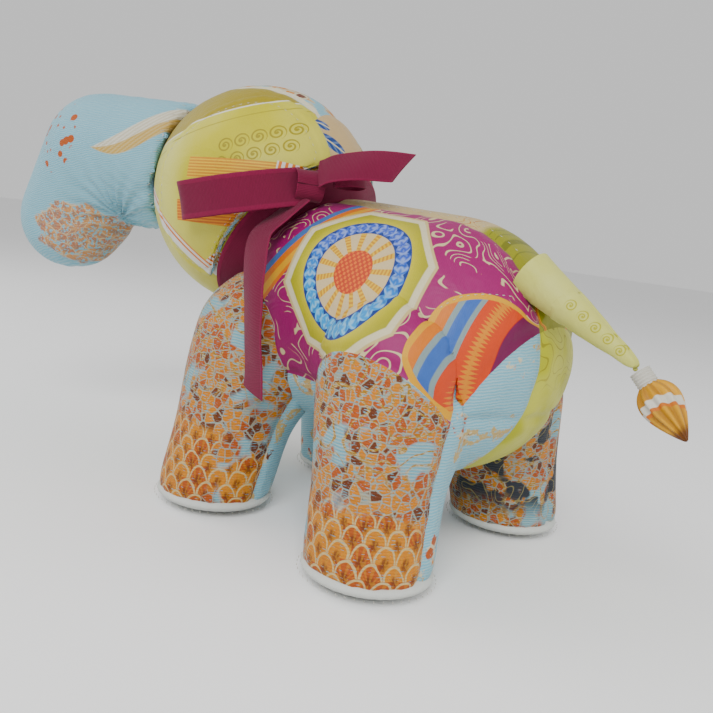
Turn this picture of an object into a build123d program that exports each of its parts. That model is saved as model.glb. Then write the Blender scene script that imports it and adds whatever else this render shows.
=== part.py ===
from build123d import *
import math
import os

# Stuffed patchwork elephant in millimetres. +X is forward (the trunk), +Y is the animal's left,
# +Z is up, and the soles stand on z = 0. Every cover is a thin cloth shell over its own stuffing.
# Places below are given from a point under the barrel; the finished pieces are then moved so that
# the origin is the bottom centre of the whole toy's bounding box.

# Cloth and clearances
CLOTH = 1.0
PACKING_GAP = 0.2
LOOSE_GAP = 0.6

# Body: the hull of a rear ball and a front ball
REAR_BALL = (-26.0, 0.0, 76.0)
REAR_RADIUS = 47.0
FRONT_BALL = (22.0, 0.0, 83.0)
FRONT_RADIUS = 42.0
BELLY_SEAM_Z = 58.0
RUMP_SEAM = (-60.0, 0.0, 76.5)
RUMP_SEAM_FACING = (0.912, 0.0, 0.409)
SPINE_SEAM_Y = 11.0

# Head, turned a little to the animal's left
HEAD_CENTRE = (76.0, 0.0, 121.0)
HEAD_RADIUS = 47.5
HEAD_TURN = 20.0
FOREHEAD_HALF_WIDTH = 15.0
FOREHEAD_BOTTOM = 12.0
NAPE_SEAM_X = -27.0

# Trunk, in the head's own upright plane: distance ahead of the head's centre, height above it
TRUNK_BASE = (22.0, 8.0)
TRUNK_BASE_RADIUS = 29.5
TRUNK_BEND = (82.0, 10.0)
TRUNK_BEND_RADIUS = 29.0
TRUNK_TIP = (99.0, -20.0)
TRUNK_TIP_RADIUS = 24.5
TRUNK_BEND_STEP = 0.15

# Legs: foot and thigh balls of the left side, mirrored to the right
FRONT_FOOT = (44.0, 41.0)
FRONT_THIGH = (40.0, 29.0, 66.0)
REAR_FOOT = (-38.0, 46.0)
REAR_THIGH = (-31.0, 36.0, 68.0)
FOOT_RADIUS = 24.0
THIGH_RADIUS = 25.5
FOOT_CENTRE_Z = 7.0
SOLE_TOP_Z = 5.0
SOLE_FLAT_RADIUS = 16.0
SOLE_BULGE = 2.2

# Ears: three layers on a ball just outside the head, hinged on a straight front edge
EAR_GAP = 0.5
EAR_LINING = 0.9
EAR_WADDING = 1.4
EAR_OUTER = 0.9
EAR_HINGE_TOP = (26.0, 10.0)
EAR_HINGE_BOTTOM = (26.0, -14.0)
EAR_ROUNDING = [(4.0, 33.0), (-12.0, 39.0), (-27.0, 34.0), (-38.0, 20.0), (-40.0, 4.0), (-32.0, -8.0),
                (-18.0, -20.0), (-5.0, -31.0), (7.0, -34.0), (19.0, -26.0)]

# Neck ribbon and its bow
RIBBON_WIDTH = 15.0
RIBBON_THICK = 0.8
RIBBON_GAP = 0.1
NECK_BAND_NEAR = 29.0
NECK_BAND_FAR = 39.0
KNOT_CENTRE = (27.8, 25.6, 126.5)
KNOT_SIZE = (12.0, 9.0, 11.0)
KNOT_FILLET = 3.0
KNOT_TURN = 61.0
JOINT_GAP = 0.4
HELD_END = [(29.5, 29.5, 118.0), (33.0, 42.0, 108.0), (25.5, 50.4, 93.0)]
FREE_END = [(24.7, 51.2, 91.0), (17.0, 56.0, 70.0), (12.0, 58.0, 50.0)]
FREE_END_FACING = (1.0, -0.25, 0.1)
BACK_END = [(19.0, 25.0, 133.5), (6.0, 21.5, 136.0), (-12.0, 15.5, 136.5)]
BACK_END_FACING = (0.1, 0.45, -1.0)
LOOSE_END_WIDTH = 12.0
LONG_LOOP_TIP = (64.0, 50.0, 115.5)
LONG_LOOP_CLEARANCE = 4.2
LONG_LOOP_DEPTH = 8.0
LONG_LOOP_BOW = 0.5
LONG_LOOP_TIP_RISE = 2.4
SHORT_LOOP_START = (20.5, 18.0, 133.0)
SHORT_LOOP_ALONG = (-0.15, -0.98, 0.05)
SHORT_LOOP_FACING = (-0.97, 0.15, 0.2)
SHORT_LOOP = (13.0, 8.0)

# Tail and its gathered tuft
TAIL_ROOT = (-68.0, SPINE_SEAM_Y, 102.5)
TAIL_KNUCKLE_RADIUS = 7.5
TAIL_START = 7.0
TAIL_END = (-100.5, SPINE_SEAM_Y, 84.0)
TAIL_END_RADIUS = 3.4
TUFT_LENGTH = 20.0
TUFT_LOW_PULL = (8.8, 6.0)
TUFT_HIGH_PULL = (4.4, 15.0)
TUFT_NECK_RADIUS = 3.0
TUFT_GATHER_RADIUS = 2.5
TUFT_DROP = 45.0
TUFT_BINDING_HEIGHT = 3.0

HUGE = 400.0


def tapered(start, end, start_radius, end_radius):
    """Hull of two balls, as one body of revolution about the line between their centres."""
    axis = Vector(*end) - Vector(*start)
    length = axis.length
    lean = (start_radius - end_radius) / length
    reach = math.sqrt(1 - lean * lean)
    half_low = (math.asin(lean) - math.pi / 2) / 2
    half_high = (math.asin(lean) + math.pi / 2) / 2
    low_touch = (start_radius * reach, start_radius * lean)
    high_touch = (end_radius * reach, length + end_radius * lean)
    low_mid = (start_radius * math.cos(half_low), start_radius * math.sin(half_low))
    high_mid = (end_radius * math.cos(half_high), length + end_radius * math.sin(half_high))
    bottom = (0.0, -start_radius)
    top = (0.0, length + end_radius)
    outline = [
        ThreePointArc(bottom, low_mid, low_touch),
        Line(low_touch, high_touch),
        ThreePointArc(high_touch, high_mid, top),
        Line(top, bottom),
    ]
    profile = Plane.XZ * make_face(outline)
    solid = revolve(profile, axis=Axis.Z, revolution_arc=360)
    return Plane(origin=Vector(*start), z_dir=axis) * solid


def ball(centre, radius):
    return Pos(*centre) * Sphere(radius)


def level_ball(centre, radius):
    """Ball whose poles lie fore and aft, so that its seam stays off the barrel's own seam."""
    return Pos(*centre) * Rot(0, 90, 0) * Sphere(radius)


def head_frame():
    return Pos(*HEAD_CENTRE) * Rot(0, 0, HEAD_TURN)


def halfspace(plane):
    """Everything on the positive side of a plane."""
    return plane * Pos(0, 0, HUGE / 2) * Box(HUGE, HUGE, HUGE)


def head_point(ahead, across, above):
    """A point given in the head's own frame, as world coordinates."""
    turn = math.radians(HEAD_TURN)
    return Vector(
        HEAD_CENTRE[0] + ahead * math.cos(turn) - across * math.sin(turn),
        HEAD_CENTRE[1] + ahead * math.sin(turn) + across * math.cos(turn),
        HEAD_CENTRE[2] + above,
    )


def neck_plane(distance):
    """Plane across the neck at a distance from the head's centre, facing the body."""
    direction = (Vector(*FRONT_BALL) - Vector(*HEAD_CENTRE)).normalized()
    return Plane(origin=Vector(*HEAD_CENTRE) + direction * distance, z_dir=direction)


def body_blob(inset):
    return tapered(REAR_BALL, FRONT_BALL, REAR_RADIUS - inset, FRONT_RADIUS - inset)


def trunk_blob(inset):
    base = head_point(TRUNK_BASE[0], 0, TRUNK_BASE[1])
    bend = head_point(TRUNK_BEND[0], 0, TRUNK_BEND[1])
    tip = head_point(TRUNK_TIP[0], 0, TRUNK_TIP[1])
    upper = tapered(base, bend, TRUNK_BASE_RADIUS - inset, TRUNK_BEND_RADIUS - inset)
    lower_radius = TRUNK_BEND_RADIUS - inset - TRUNK_BEND_STEP
    lower = tapered(bend, tip, lower_radius, TRUNK_TIP_RADIUS - inset)
    return upper + lower


def leg_blob(foot, thigh, inset):
    centre = (foot[0], foot[1], FOOT_CENTRE_Z)
    return tapered(centre, thigh, FOOT_RADIUS - inset, THIGH_RADIUS - inset)


def mirrored(solid):
    return mirror(solid, about=Plane.XZ)


def save(name, shape):
    solids = shape.solids()
    if len(solids) != 1:
        print("PROBLEM:", name, "has", len(solids), "solids")
    export_step(solids[0], f"parts/{name}.step")


def body_parts():
    """Two flank covers, belly gusset, rump cover and stuffing, hollowed for head and tail."""
    neck_hollow = ball(HEAD_CENTRE, HEAD_RADIUS + RIBBON_THICK + RIBBON_GAP)
    tail_hollow = level_ball(TAIL_ROOT, TAIL_KNUCKLE_RADIUS + JOINT_GAP)
    skin = body_blob(0) - body_blob(CLOTH) - neck_hollow - tail_hollow
    above_belly = halfspace(Plane(origin=(0, 0, BELLY_SEAM_Z), z_dir=(0, 0, 1)))
    ahead_of_rump = halfspace(Plane(origin=RUMP_SEAM, z_dir=RUMP_SEAM_FACING))
    left = halfspace(Plane(origin=(0, SPINE_SEAM_Y, 0), z_dir=(0, 1, 0)))
    rump = skin - ahead_of_rump
    barrel = skin & ahead_of_rump
    flanks = barrel & above_belly
    stuffing = body_blob(CLOTH + PACKING_GAP) - neck_hollow - tail_hollow
    return {
        "body_cover_left": flanks & left,
        "body_cover_right": flanks - left,
        "belly_gusset": barrel - above_belly,
        "rump_cover": rump,
        "body_stuffing": stuffing,
    }


def head_parts():
    """Side covers, forehead gusset, nape panel and stuffing; the trunk covers its front."""
    skin = Sphere(HEAD_RADIUS) - Sphere(HEAD_RADIUS - CLOTH)
    crown = halfspace(Plane(origin=(0, 0, FOREHEAD_BOTTOM), z_dir=(0, 0, 1)))
    middle = Box(HUGE, 2 * FOREHEAD_HALF_WIDTH, HUGE)
    ahead_of_nape = halfspace(Plane(origin=(NAPE_SEAM_X, 0, 0), z_dir=(1, 0, 0)))
    left = halfspace(Plane(origin=(0, 0, 0), z_dir=(0, 1, 0)))
    nape = skin - ahead_of_nape
    front = skin & ahead_of_nape
    gusset = front & crown & middle
    sides = front - (crown & middle)
    pieces = {
        "head_cover_left": sides & left,
        "head_cover_right": sides - left,
        "forehead_gusset": gusset,
        "nape_cover": nape,
        "head_stuffing": Sphere(HEAD_RADIUS - CLOTH - PACKING_GAP),
    }
    return {name: head_frame() * piece for name, piece in pieces.items()}


def trunk_parts():
    """Left and right covers sewn along the top and underside, and the stuffing."""
    head = ball(HEAD_CENTRE, HEAD_RADIUS)
    skin = trunk_blob(0) - trunk_blob(CLOTH) - head
    left = head_frame() * halfspace(Plane(origin=(0, 0, 0), z_dir=(0, 1, 0)))
    return {
        "trunk_cover_left": skin & left,
        "trunk_cover_right": skin - left,
        "trunk_stuffing": trunk_blob(CLOTH + PACKING_GAP) - head,
    }


def leg_parts(name, foot, thigh):
    """Outer and inner covers sewn fore and aft, a bulging sole, and stuffing."""
    body = body_blob(0) + ball(HEAD_CENTRE, HEAD_RADIUS + RIBBON_THICK + RIBBON_GAP)
    ground = halfspace(Plane(origin=(0, 0, SOLE_TOP_Z), z_dir=(0, 0, 1)))
    skin = (leg_blob(foot, thigh, 0) - leg_blob(foot, thigh, CLOTH) - body) & ground
    axis = Vector(*thigh) - Vector(foot[0], foot[1], FOOT_CENTRE_Z)
    side = Vector(0, 1, 0)
    seam = Plane(origin=Vector(*thigh), z_dir=side - axis * (side.dot(axis) / axis.dot(axis)))
    outer_side = halfspace(seam)
    stuffing = (leg_blob(foot, thigh, CLOTH + PACKING_GAP) - body) & ground
    drop = FOOT_CENTRE_Z - SOLE_TOP_Z
    rim = math.sqrt(FOOT_RADIUS ** 2 - drop ** 2)
    arc_middle = ((rim + SOLE_FLAT_RADIUS) / 2 + SOLE_BULGE / 2, SOLE_TOP_Z / 2 - SOLE_BULGE / 2)
    outline = [
        Line((0, 0), (SOLE_FLAT_RADIUS, 0)),
        ThreePointArc((SOLE_FLAT_RADIUS, 0), arc_middle, (rim, SOLE_TOP_Z)),
        Line((rim, SOLE_TOP_Z), (0, SOLE_TOP_Z)),
        Line((0, SOLE_TOP_Z), (0, 0)),
    ]
    sole = revolve(Plane.XZ * make_face(outline), axis=Axis.Z, revolution_arc=360)
    pieces = {
        f"{name}_left_leg_outer": skin & outer_side,
        f"{name}_left_leg_inner": skin - outer_side,
        f"{name}_left_leg_stuffing": stuffing,
        f"{name}_left_sole": Pos(foot[0], foot[1], 0) * sole,
    }
    for key in list(pieces):
        pieces[key.replace("left", "right")] = mirrored(pieces[key])
    return pieces


def ear_parts():
    """Lining, wadding and outer cloth of each ear, clear of the neck ribbon."""
    edge = Spline(EAR_HINGE_TOP, *EAR_ROUNDING, EAR_HINGE_BOTTOM)
    flap = Plane.XZ * make_face([edge, Line(EAR_HINGE_BOTTOM, EAR_HINGE_TOP)])
    prism = extrude(flap, amount=-HUGE / 4)
    beyond_ribbon = halfspace(neck_plane(NECK_BAND_NEAR - LOOSE_GAP))
    layers = [("lining", EAR_LINING), ("wadding", EAR_WADDING), ("outer", EAR_OUTER)]
    radius = HEAD_RADIUS + EAR_GAP
    pieces = {}
    for layer, thickness in layers:
        shell = Sphere(radius + thickness) - Sphere(radius)
        for side, shape in (("left", prism), ("right", mirrored(prism))):
            pieces[f"ear_{side}_{layer}"] = head_frame() * (shell & shape) - beyond_ribbon
        radius += thickness
    return pieces


def tail_parts():
    """Knuckle sewn into the rump seam, tail covers and stuffing, and the gathered tuft."""
    root = Vector(*TAIL_ROOT)
    end = Vector(*TAIL_END)
    along = (end - root).normalized()
    knuckle = ball(TAIL_ROOT, TAIL_KNUCKLE_RADIUS)
    socket = ball(TAIL_ROOT, TAIL_KNUCKLE_RADIUS + JOINT_GAP)
    start = root + along * TAIL_KNUCKLE_RADIUS
    radius = TAIL_KNUCKLE_RADIUS
    behind = halfspace(Plane(origin=root + along * TAIL_START, z_dir=along))
    outer = (tapered(start, end, radius, TAIL_END_RADIUS) & behind) - socket
    inner = tapered(start, end, radius - CLOTH, TAIL_END_RADIUS - CLOTH) & behind
    packing = radius - CLOTH - PACKING_GAP
    fill = tapered(start, end, packing, TAIL_END_RADIUS - CLOTH - PACKING_GAP) & behind
    left = halfspace(Plane(origin=TAIL_ROOT, z_dir=(0, 1, 0)))
    skin = outer - inner
    drop = math.radians(TUFT_DROP)
    tuft_axis = Vector(-math.cos(drop), 0, -math.sin(drop))
    seat = end + tuft_axis * (TAIL_END_RADIUS + JOINT_GAP)
    frame = Plane(origin=seat, z_dir=tuft_axis)
    band = Cylinder(TUFT_NECK_RADIUS, TUFT_BINDING_HEIGHT)
    neck = (TUFT_GATHER_RADIUS, 0)
    bud_outline = [
        Line((0, 0), neck),
        Bezier(neck, TUFT_LOW_PULL, TUFT_HIGH_PULL, (0, TUFT_LENGTH)),
        Line((0, TUFT_LENGTH), (0, 0)),
    ]
    bud = revolve(Plane.XZ * make_face(bud_outline), axis=Axis.Z, revolution_arc=360)
    return {
        "tail_knuckle": knuckle,
        "tail_cover_left": skin & left,
        "tail_cover_right": skin - left,
        "tail_stuffing": fill - socket,
        "tuft_binding": frame * Pos(0, 0, TUFT_BINDING_HEIGHT / 2) * band,
        "tail_tuft": frame * Pos(0, 0, TUFT_BINDING_HEIGHT) * bud,
    }


def strip(points, width_direction, width):
    """Flat ribbon along a chain of points, as wide as given and one ribbon thick."""
    slabs = None
    facing = Vector(*width_direction).normalized()
    for start, end in zip(points, points[1:]):
        along = Vector(*end) - Vector(*start)
        across = facing - along * (facing.dot(along) / along.dot(along))
        middle = (Vector(*start) + Vector(*end)) * 0.5
        frame = Plane(origin=middle, x_dir=across, z_dir=along.cross(across))
        slab = frame * Box(width, along.length + RIBBON_THICK, RIBBON_THICK)
        slabs = slab if slabs is None else slabs + slab
    return slabs


def short_loop():
    """Small closed loop, its opening sideways and its width upright."""
    length, opening = SHORT_LOOP
    outer = SlotOverall(length, opening + 2 * RIBBON_THICK)
    inner = SlotOverall(length - 2 * RIBBON_THICK, opening)
    ring = extrude(Plane.XZ * (outer - inner), amount=LOOSE_END_WIDTH / 2, both=True)
    frame = Plane(origin=SHORT_LOOP_START, x_dir=SHORT_LOOP_ALONG, z_dir=SHORT_LOOP_FACING)
    return frame * Pos(length / 2, 0, 0) * ring


def long_loop():
    """Loop that follows the ear round the head: two arcs that meet at the knot and at the tip."""
    centre = Vector(*HEAD_CENTRE)
    knot = (Vector(*KNOT_CENTRE) - centre).normalized()
    tip = (Vector(*LONG_LOOP_TIP) - centre).normalized()
    sweep = math.radians(knot.get_angle(tip))
    frame = Plane(origin=centre, x_dir=knot, z_dir=knot.cross(tip))
    near = HEAD_RADIUS + EAR_GAP + EAR_LINING + EAR_WADDING + EAR_OUTER + LONG_LOOP_CLEARANCE
    start_angle = (KNOT_SIZE[0] / 2 + LOOSE_GAP) / near
    middle_angle = (start_angle + sweep) / 2

    def polar(radius, angle):
        return (radius * math.cos(angle), radius * math.sin(angle))

    start = polar(near, start_angle)
    end = polar(near + LONG_LOOP_TIP_RISE, sweep)
    outline = make_face([
        ThreePointArc(start, polar(near + LONG_LOOP_BOW, middle_angle), end),
        ThreePointArc(end, polar(near + LONG_LOOP_DEPTH, middle_angle), start),
    ])
    hollow = offset(outline, amount=-RIBBON_THICK)
    ring = extrude(outline - hollow, amount=RIBBON_WIDTH / 2, both=True)
    return frame * ring


def ribbon_parts():
    """Neck band on the head's nape, knot, two loops and two loose ends."""
    wrapped = ball(HEAD_CENTRE, HEAD_RADIUS + RIBBON_THICK)
    skin = wrapped - ball(HEAD_CENTRE, HEAD_RADIUS)
    near = halfspace(neck_plane(NECK_BAND_NEAR))
    far = halfspace(neck_plane(NECK_BAND_FAR))
    knot = fillet(Box(*KNOT_SIZE).edges(), KNOT_FILLET)
    return {
        "neck_ribbon": skin & near - far,
        "bow_knot": Pos(*KNOT_CENTRE) * Rot(0, 0, KNOT_TURN) * knot - wrapped,
        "bow_loop_left": long_loop(),
        "bow_loop_right": short_loop(),
        "bow_tail_front_root": strip(HELD_END, FREE_END_FACING, LOOSE_END_WIDTH),
        "bow_tail_front": strip(FREE_END, FREE_END_FACING, LOOSE_END_WIDTH),
        "bow_tail_back": strip(BACK_END, BACK_END_FACING, LOOSE_END_WIDTH),
    }


def main():
    os.makedirs("parts", exist_ok=True)
    pieces = {}
    pieces.update(body_parts())
    pieces.update(head_parts())
    pieces.update(trunk_parts())
    pieces.update(leg_parts("front", FRONT_FOOT, FRONT_THIGH))
    pieces.update(leg_parts("rear", REAR_FOOT, REAR_THIGH))
    pieces.update(ear_parts())
    pieces.update(tail_parts())
    pieces.update(ribbon_parts())
    box = Compound(children=[piece.solids()[0] for piece in pieces.values()]).bounding_box()
    origin = Pos(-box.center().X, -box.center().Y, 0)
    print("moved forward by", -box.center().X, "and left by", -box.center().Y)
    for name, shape in pieces.items():
        save(name, origin * shape)


main()
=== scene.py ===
import math

import bpy
import numpy as np
from mathutils import Matrix, Vector


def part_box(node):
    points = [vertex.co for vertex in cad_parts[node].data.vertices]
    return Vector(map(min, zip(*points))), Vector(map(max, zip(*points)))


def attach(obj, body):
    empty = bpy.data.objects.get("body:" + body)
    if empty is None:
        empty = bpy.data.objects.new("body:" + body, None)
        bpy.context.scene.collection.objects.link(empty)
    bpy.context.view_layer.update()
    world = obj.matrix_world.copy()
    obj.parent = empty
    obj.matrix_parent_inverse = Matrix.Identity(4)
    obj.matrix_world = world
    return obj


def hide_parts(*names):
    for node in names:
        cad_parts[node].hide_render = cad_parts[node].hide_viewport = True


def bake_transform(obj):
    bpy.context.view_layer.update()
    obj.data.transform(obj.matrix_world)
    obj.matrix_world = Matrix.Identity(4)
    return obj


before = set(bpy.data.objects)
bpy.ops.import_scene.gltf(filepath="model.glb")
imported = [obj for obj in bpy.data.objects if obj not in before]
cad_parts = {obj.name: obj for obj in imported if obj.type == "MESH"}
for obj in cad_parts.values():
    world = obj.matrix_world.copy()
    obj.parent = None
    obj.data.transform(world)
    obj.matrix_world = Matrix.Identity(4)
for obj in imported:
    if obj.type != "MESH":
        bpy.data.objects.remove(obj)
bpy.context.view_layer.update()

bl_info = {
    "name": "Patchwork elephant",
    "version": (1, 0, 0),
    "blender": (4, 5, 0),
    "location": "View3D > Sidebar > Elephant",
    "description": "Builds the stuffed patchwork elephant over its packed frame",
    "category": "Add Mesh",
}

MM = 0.001
HEAD_TURN = math.radians(20.0)


def middle(node):
    """Centre of a node's box at rest, in millimetres."""
    low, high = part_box(node)
    return (Vector(low) + Vector(high)) / 2 / MM


HEAD = middle("head_stuffing")
HEAD_RADIUS = (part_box("head_stuffing")[1][0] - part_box("head_stuffing")[0][0]) / 2 / MM + 1.2
SHIFT_X = HEAD.x - 76.0


def from_barrel(x, y, z):
    """A design point given from under the barrel, in the row frame, in millimetres."""
    return Vector((x + SHIFT_X, y, z))


def head_point(ahead, across, above):
    """A point given in the turned head's own frame, in the row frame, in millimetres."""
    turned = Matrix.Rotation(HEAD_TURN, 3, "Z") @ Vector((ahead, across, above))
    return HEAD + turned


FRONT_BALL = from_barrel(22.0, 0.0, 83.0)
REAR_BALL = from_barrel(-26.0, 0.0, 76.0)
NECK_DIRECTION = (FRONT_BALL - HEAD).normalized()
KNOT = middle("bow_knot")
MEDALLION = (-38.0, 21.5)
PRINT_ORIGIN = 26.686
SPINE_Y = 11.0
DYE_DEPTH = 1.34
DYE_VALUE = 0.64
HIP_FILLET = 24.0
HIP_PASSES = 4
HIP_SKIN = 1.5
FILL_DEPTH = 0.0027
GIRTH_RADIUS = 45.0


# ---------------------------------------------------------------------------------------------
# Sizes and colours a user would change


def colour_property(name, description, value):
    return bpy.props.FloatVectorProperty(
        name=name, description=description, default=value, subtype="COLOR", size=3, min=0, max=1
    )


class PlushSizes(bpy.types.PropertyGroup):
    cloth: bpy.props.FloatProperty(
        name="Cloth", description="Thickness of a sewn cover", default=0.0009, unit="LENGTH"
    )
    mesh_step: bpy.props.FloatProperty(
        name="Mesh step", description="Grid size that stuffed forms are rebuilt at", default=0.0030,
        unit="LENGTH",
    )
    swell: bpy.props.FloatProperty(
        name="Swell", description="Furthest that stuffing pushes the cloth out", default=0.0016,
        unit="LENGTH",
    )
    seam_depth: bpy.props.FloatProperty(
        name="Seam depth", description="How far a seam pulls the cloth in", default=0.0011,
        unit="LENGTH",
    )
    seam_width: bpy.props.FloatProperty(
        name="Seam width", description="Reach of the pull to each side of a seam", default=0.0022,
        unit="LENGTH",
    )
    pressure: bpy.props.FloatProperty(
        name="Pressure", description="Pressure of the stuffing in the cloth simulation", default=3.0
    )
    frames: bpy.props.IntProperty(
        name="Frames", description="Length of the cloth simulation", default=14
    )


class PlushColours(bpy.types.PropertyGroup):
    blue: colour_property("Blue brocade", "Ground of the blue brocade", (0.30, 0.56, 0.67))
    cream: colour_property("Cream", "Cream thread", (0.72, 0.66, 0.50))
    rust: colour_property("Rust", "Rust thread", (0.50, 0.13, 0.05))
    orange: colour_property("Orange", "Orange thread", (0.72, 0.30, 0.09))
    olive: colour_property("Olive silk", "Ground of the ear silk", (0.62, 0.57, 0.13))
    beige: colour_property("Beige silk", "Ground of the nape silk", (0.62, 0.46, 0.27))
    magenta: colour_property("Magenta", "Ground of the flank print", (0.36, 0.03, 0.16))
    gold: colour_property("Gold", "Printed gold and tuft", (0.86, 0.42, 0.01))
    ribbon: colour_property("Ribbon", "Woven ribbon", (0.23, 0.012, 0.055))
    sole: colour_property("Sole", "White sole cloth", (0.78, 0.80, 0.76))


# ---------------------------------------------------------------------------------------------
# Shader maths


class Value:
    """A number carried by a socket, so that an expression adds its own Math nodes."""

    def __init__(self, cloth, socket):
        self.cloth = cloth
        self.socket = socket

    def math(self, operation, *others):
        node = self.cloth.tree.nodes.new("ShaderNodeMath")
        node.operation = operation
        for slot, value in zip(node.inputs, (self, *others)):
            self.cloth.feed(slot, value)
        return Value(self.cloth, node.outputs[0])

    def __add__(self, other):
        return self.math("ADD", other)

    def __sub__(self, other):
        return self.math("SUBTRACT", other)

    def __mul__(self, other):
        return self.math("MULTIPLY", other)

    def __truediv__(self, other):
        return self.math("DIVIDE", other)

    def __pow__(self, other):
        return self.math("POWER", other)

    def __neg__(self):
        return self * -1.0

    __radd__ = __add__
    __rmul__ = __mul__

    def __rsub__(self, other):
        return (-self) + other

    def __rtruediv__(self, other):
        return (self ** -1.0) * other

    def sin(self):
        return self.math("SINE")

    def cos(self):
        return self.math("COSINE")

    def abs(self):
        return self.math("ABSOLUTE")

    def least(self, other):
        return self.math("MINIMUM", other)

    def most(self, other):
        return self.math("MAXIMUM", other)

    def wrap(self, low, high):
        return self.math("WRAP", high, low)

    def step(self, start, end):
        """0 before start, 1 after end, smooth between; start may be the larger."""
        return self.cloth.node(
            "ShaderNodeMapRange", {"interpolation_type": "SMOOTHSTEP"},
            {"Value": self, "From Min": start, "From Max": end},
        )

    def near(self, centre, half, soft=0.15):
        """1 within half of centre, fading over soft."""
        return (self - centre).abs().step(half + soft, half)


class Cloth:
    """One fabric: its node tree, its coordinates and the patterns drawn on it."""

    def __init__(self, name):
        self.material = bpy.data.materials.new(name)
        self.material.use_nodes = True
        self.tree = self.material.node_tree
        self.surface = self.tree.nodes["Principled BSDF"]
        self.place = self.node("ShaderNodeTexCoord", {}, {}, "Object", wrap=False)

    def feed(self, slot, value):
        if isinstance(value, Value):
            self.tree.links.new(value.socket, slot)
        elif isinstance(value, bpy.types.NodeSocket):
            self.tree.links.new(value, slot)
        elif hasattr(value, "__len__") and len(value) == 3 and len(slot.default_value) == 4:
            slot.default_value = (*value, 1.0)
        else:
            slot.default_value = value

    def node(self, kind, settings, sockets, output=0, wrap=True):
        node = self.tree.nodes.new(kind)
        for key, value in settings.items():
            if key == "stops":
                ramp = node.color_ramp
                while len(ramp.elements) < len(value):
                    ramp.elements.new(0.5)
                for element, (position, shade) in zip(ramp.elements, value):
                    element.position = position
                    element.color = (*shade, 1.0)
            else:
                setattr(node, key, value)
        for key, value in sockets.items():
            self.feed(node.inputs[key], value)
        found = node.outputs[output]
        return Value(self, found) if wrap else found

    def vector(self, x, y, z):
        return self.node("ShaderNodeCombineXYZ", {}, {"X": x, "Y": y, "Z": z}, wrap=False)

    def split(self, vector):
        node = self.tree.nodes.new("ShaderNodeSeparateXYZ")
        self.tree.links.new(vector, node.inputs[0])
        return [Value(self, out) for out in node.outputs]

    def spots(self, origin=(0, 0, 0), turn=0.0):
        """Object coordinates in millimetres, measured from origin and turned about Z."""
        moved = self.node(
            "ShaderNodeMapping", {"vector_type": "TEXTURE"},
            {"Vector": self.place, "Location": tuple(c * MM for c in origin),
             "Rotation": (0.0, 0.0, turn), "Scale": (MM, MM, MM)}, wrap=False,
        )
        return moved

    def noise(self, vector, scale, detail=3.0, rough=0.55):
        return self.node(
            "ShaderNodeTexNoise", {},
            {"Vector": vector, "Scale": scale, "Detail": detail, "Roughness": rough},
        )

    def cells(self, vector, scale, feature="F1", output="Distance"):
        return self.node(
            "ShaderNodeTexVoronoi", {"feature": feature}, {"Vector": vector, "Scale": scale},
            output,
        )

    def mix(self, factor, first, second):
        """Colour mix."""
        node = self.tree.nodes.new("ShaderNodeMix")
        node.data_type = "RGBA"
        self.feed(node.inputs[0], factor)
        self.feed(node.inputs[6], first)
        self.feed(node.inputs[7], second)
        return node.outputs[2]

    def shade(self, colour, amount):
        """Colour multiplied by a grey value."""
        node = self.tree.nodes.new("ShaderNodeMix")
        node.data_type = "RGBA"
        node.blend_type = "MULTIPLY"
        node.inputs[0].default_value = 1.0
        self.feed(node.inputs[6], colour)
        self.feed(node.inputs[7], amount)
        return node.outputs[2]

    def finish(self, colour, height, strength=0.35, rough=0.75, sheen=0.25, distance=0.4):
        """Connects colour and height, with the sheen of its fibre."""
        bump = self.node(
            "ShaderNodeBump", {},
            {"Strength": strength, "Distance": distance * MM, "Height": height}, wrap=False,
        )
        dyed = self.node("ShaderNodeHueSaturation", {},
                         {"Color": colour, "Saturation": DYE_DEPTH, "Value": DYE_VALUE}, wrap=False)
        self.feed(self.surface.inputs["Base Color"], dyed)
        self.feed(self.surface.inputs["Normal"], bump)
        self.feed(self.surface.inputs["Roughness"], rough)
        self.surface.inputs["Sheen Weight"].default_value = sheen * 0.25
        self.surface.inputs["Sheen Roughness"].default_value = 0.4
        self.surface.inputs["Specular IOR Level"].default_value = 0.3
        return self.material


def weave(cloth, pitch, slant=0.0):
    """Over-and-under thread heights, 0 to 1, at a thread pitch in millimetres."""
    x, y, z = cloth.split(cloth.spots())
    turn = 2 * math.pi / pitch
    warp = ((x * 0.8 + y * 0.6 + z * slant) * turn).sin()
    weft = ((z * 0.94 + x * 0.28 - y * 0.2) * turn).sin()
    return (warp * weft) * 0.25 + (warp.abs() + weft.abs()) * 0.2 + 0.2


def rib(cloth, pitch):
    """Fine raised ribs across a brocade, as seen where its threads lie close together."""
    x, y, z = cloth.split(cloth.spots())
    turn = 2 * math.pi / pitch
    broken = cloth.noise(cloth.spots(), 0.35, 2.0)
    return ((z * 0.96 + x * 0.28 + broken * 1.2) * turn).sin() * 0.5 + 0.5


def wear(cloth, colour, amount=0.18):
    """Slow light and dark change over the cloth, with a little fine fleck."""
    slow = cloth.noise(cloth.spots(), 0.045, 3.0)
    fleck = cloth.noise(cloth.spots(), 2.2, 2.0)
    grey = slow * amount + fleck * (amount * 0.7) + (1.0 - amount * 0.85)
    tone = cloth.node("ShaderNodeCombineColor", {}, {"Red": grey, "Green": grey, "Blue": grey},
                      wrap=False)
    return cloth.shade(colour, tone)


def creases(cloth, scale=0.09):
    """Soft pulls and folds in stuffed cloth, as a height."""
    pulled = cloth.node(
        "ShaderNodeTexNoise", {}, {"Vector": cloth.spots(), "Scale": scale, "Detail": 2.0,
                                   "Distortion": 1.2},
    )
    return pulled


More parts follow.
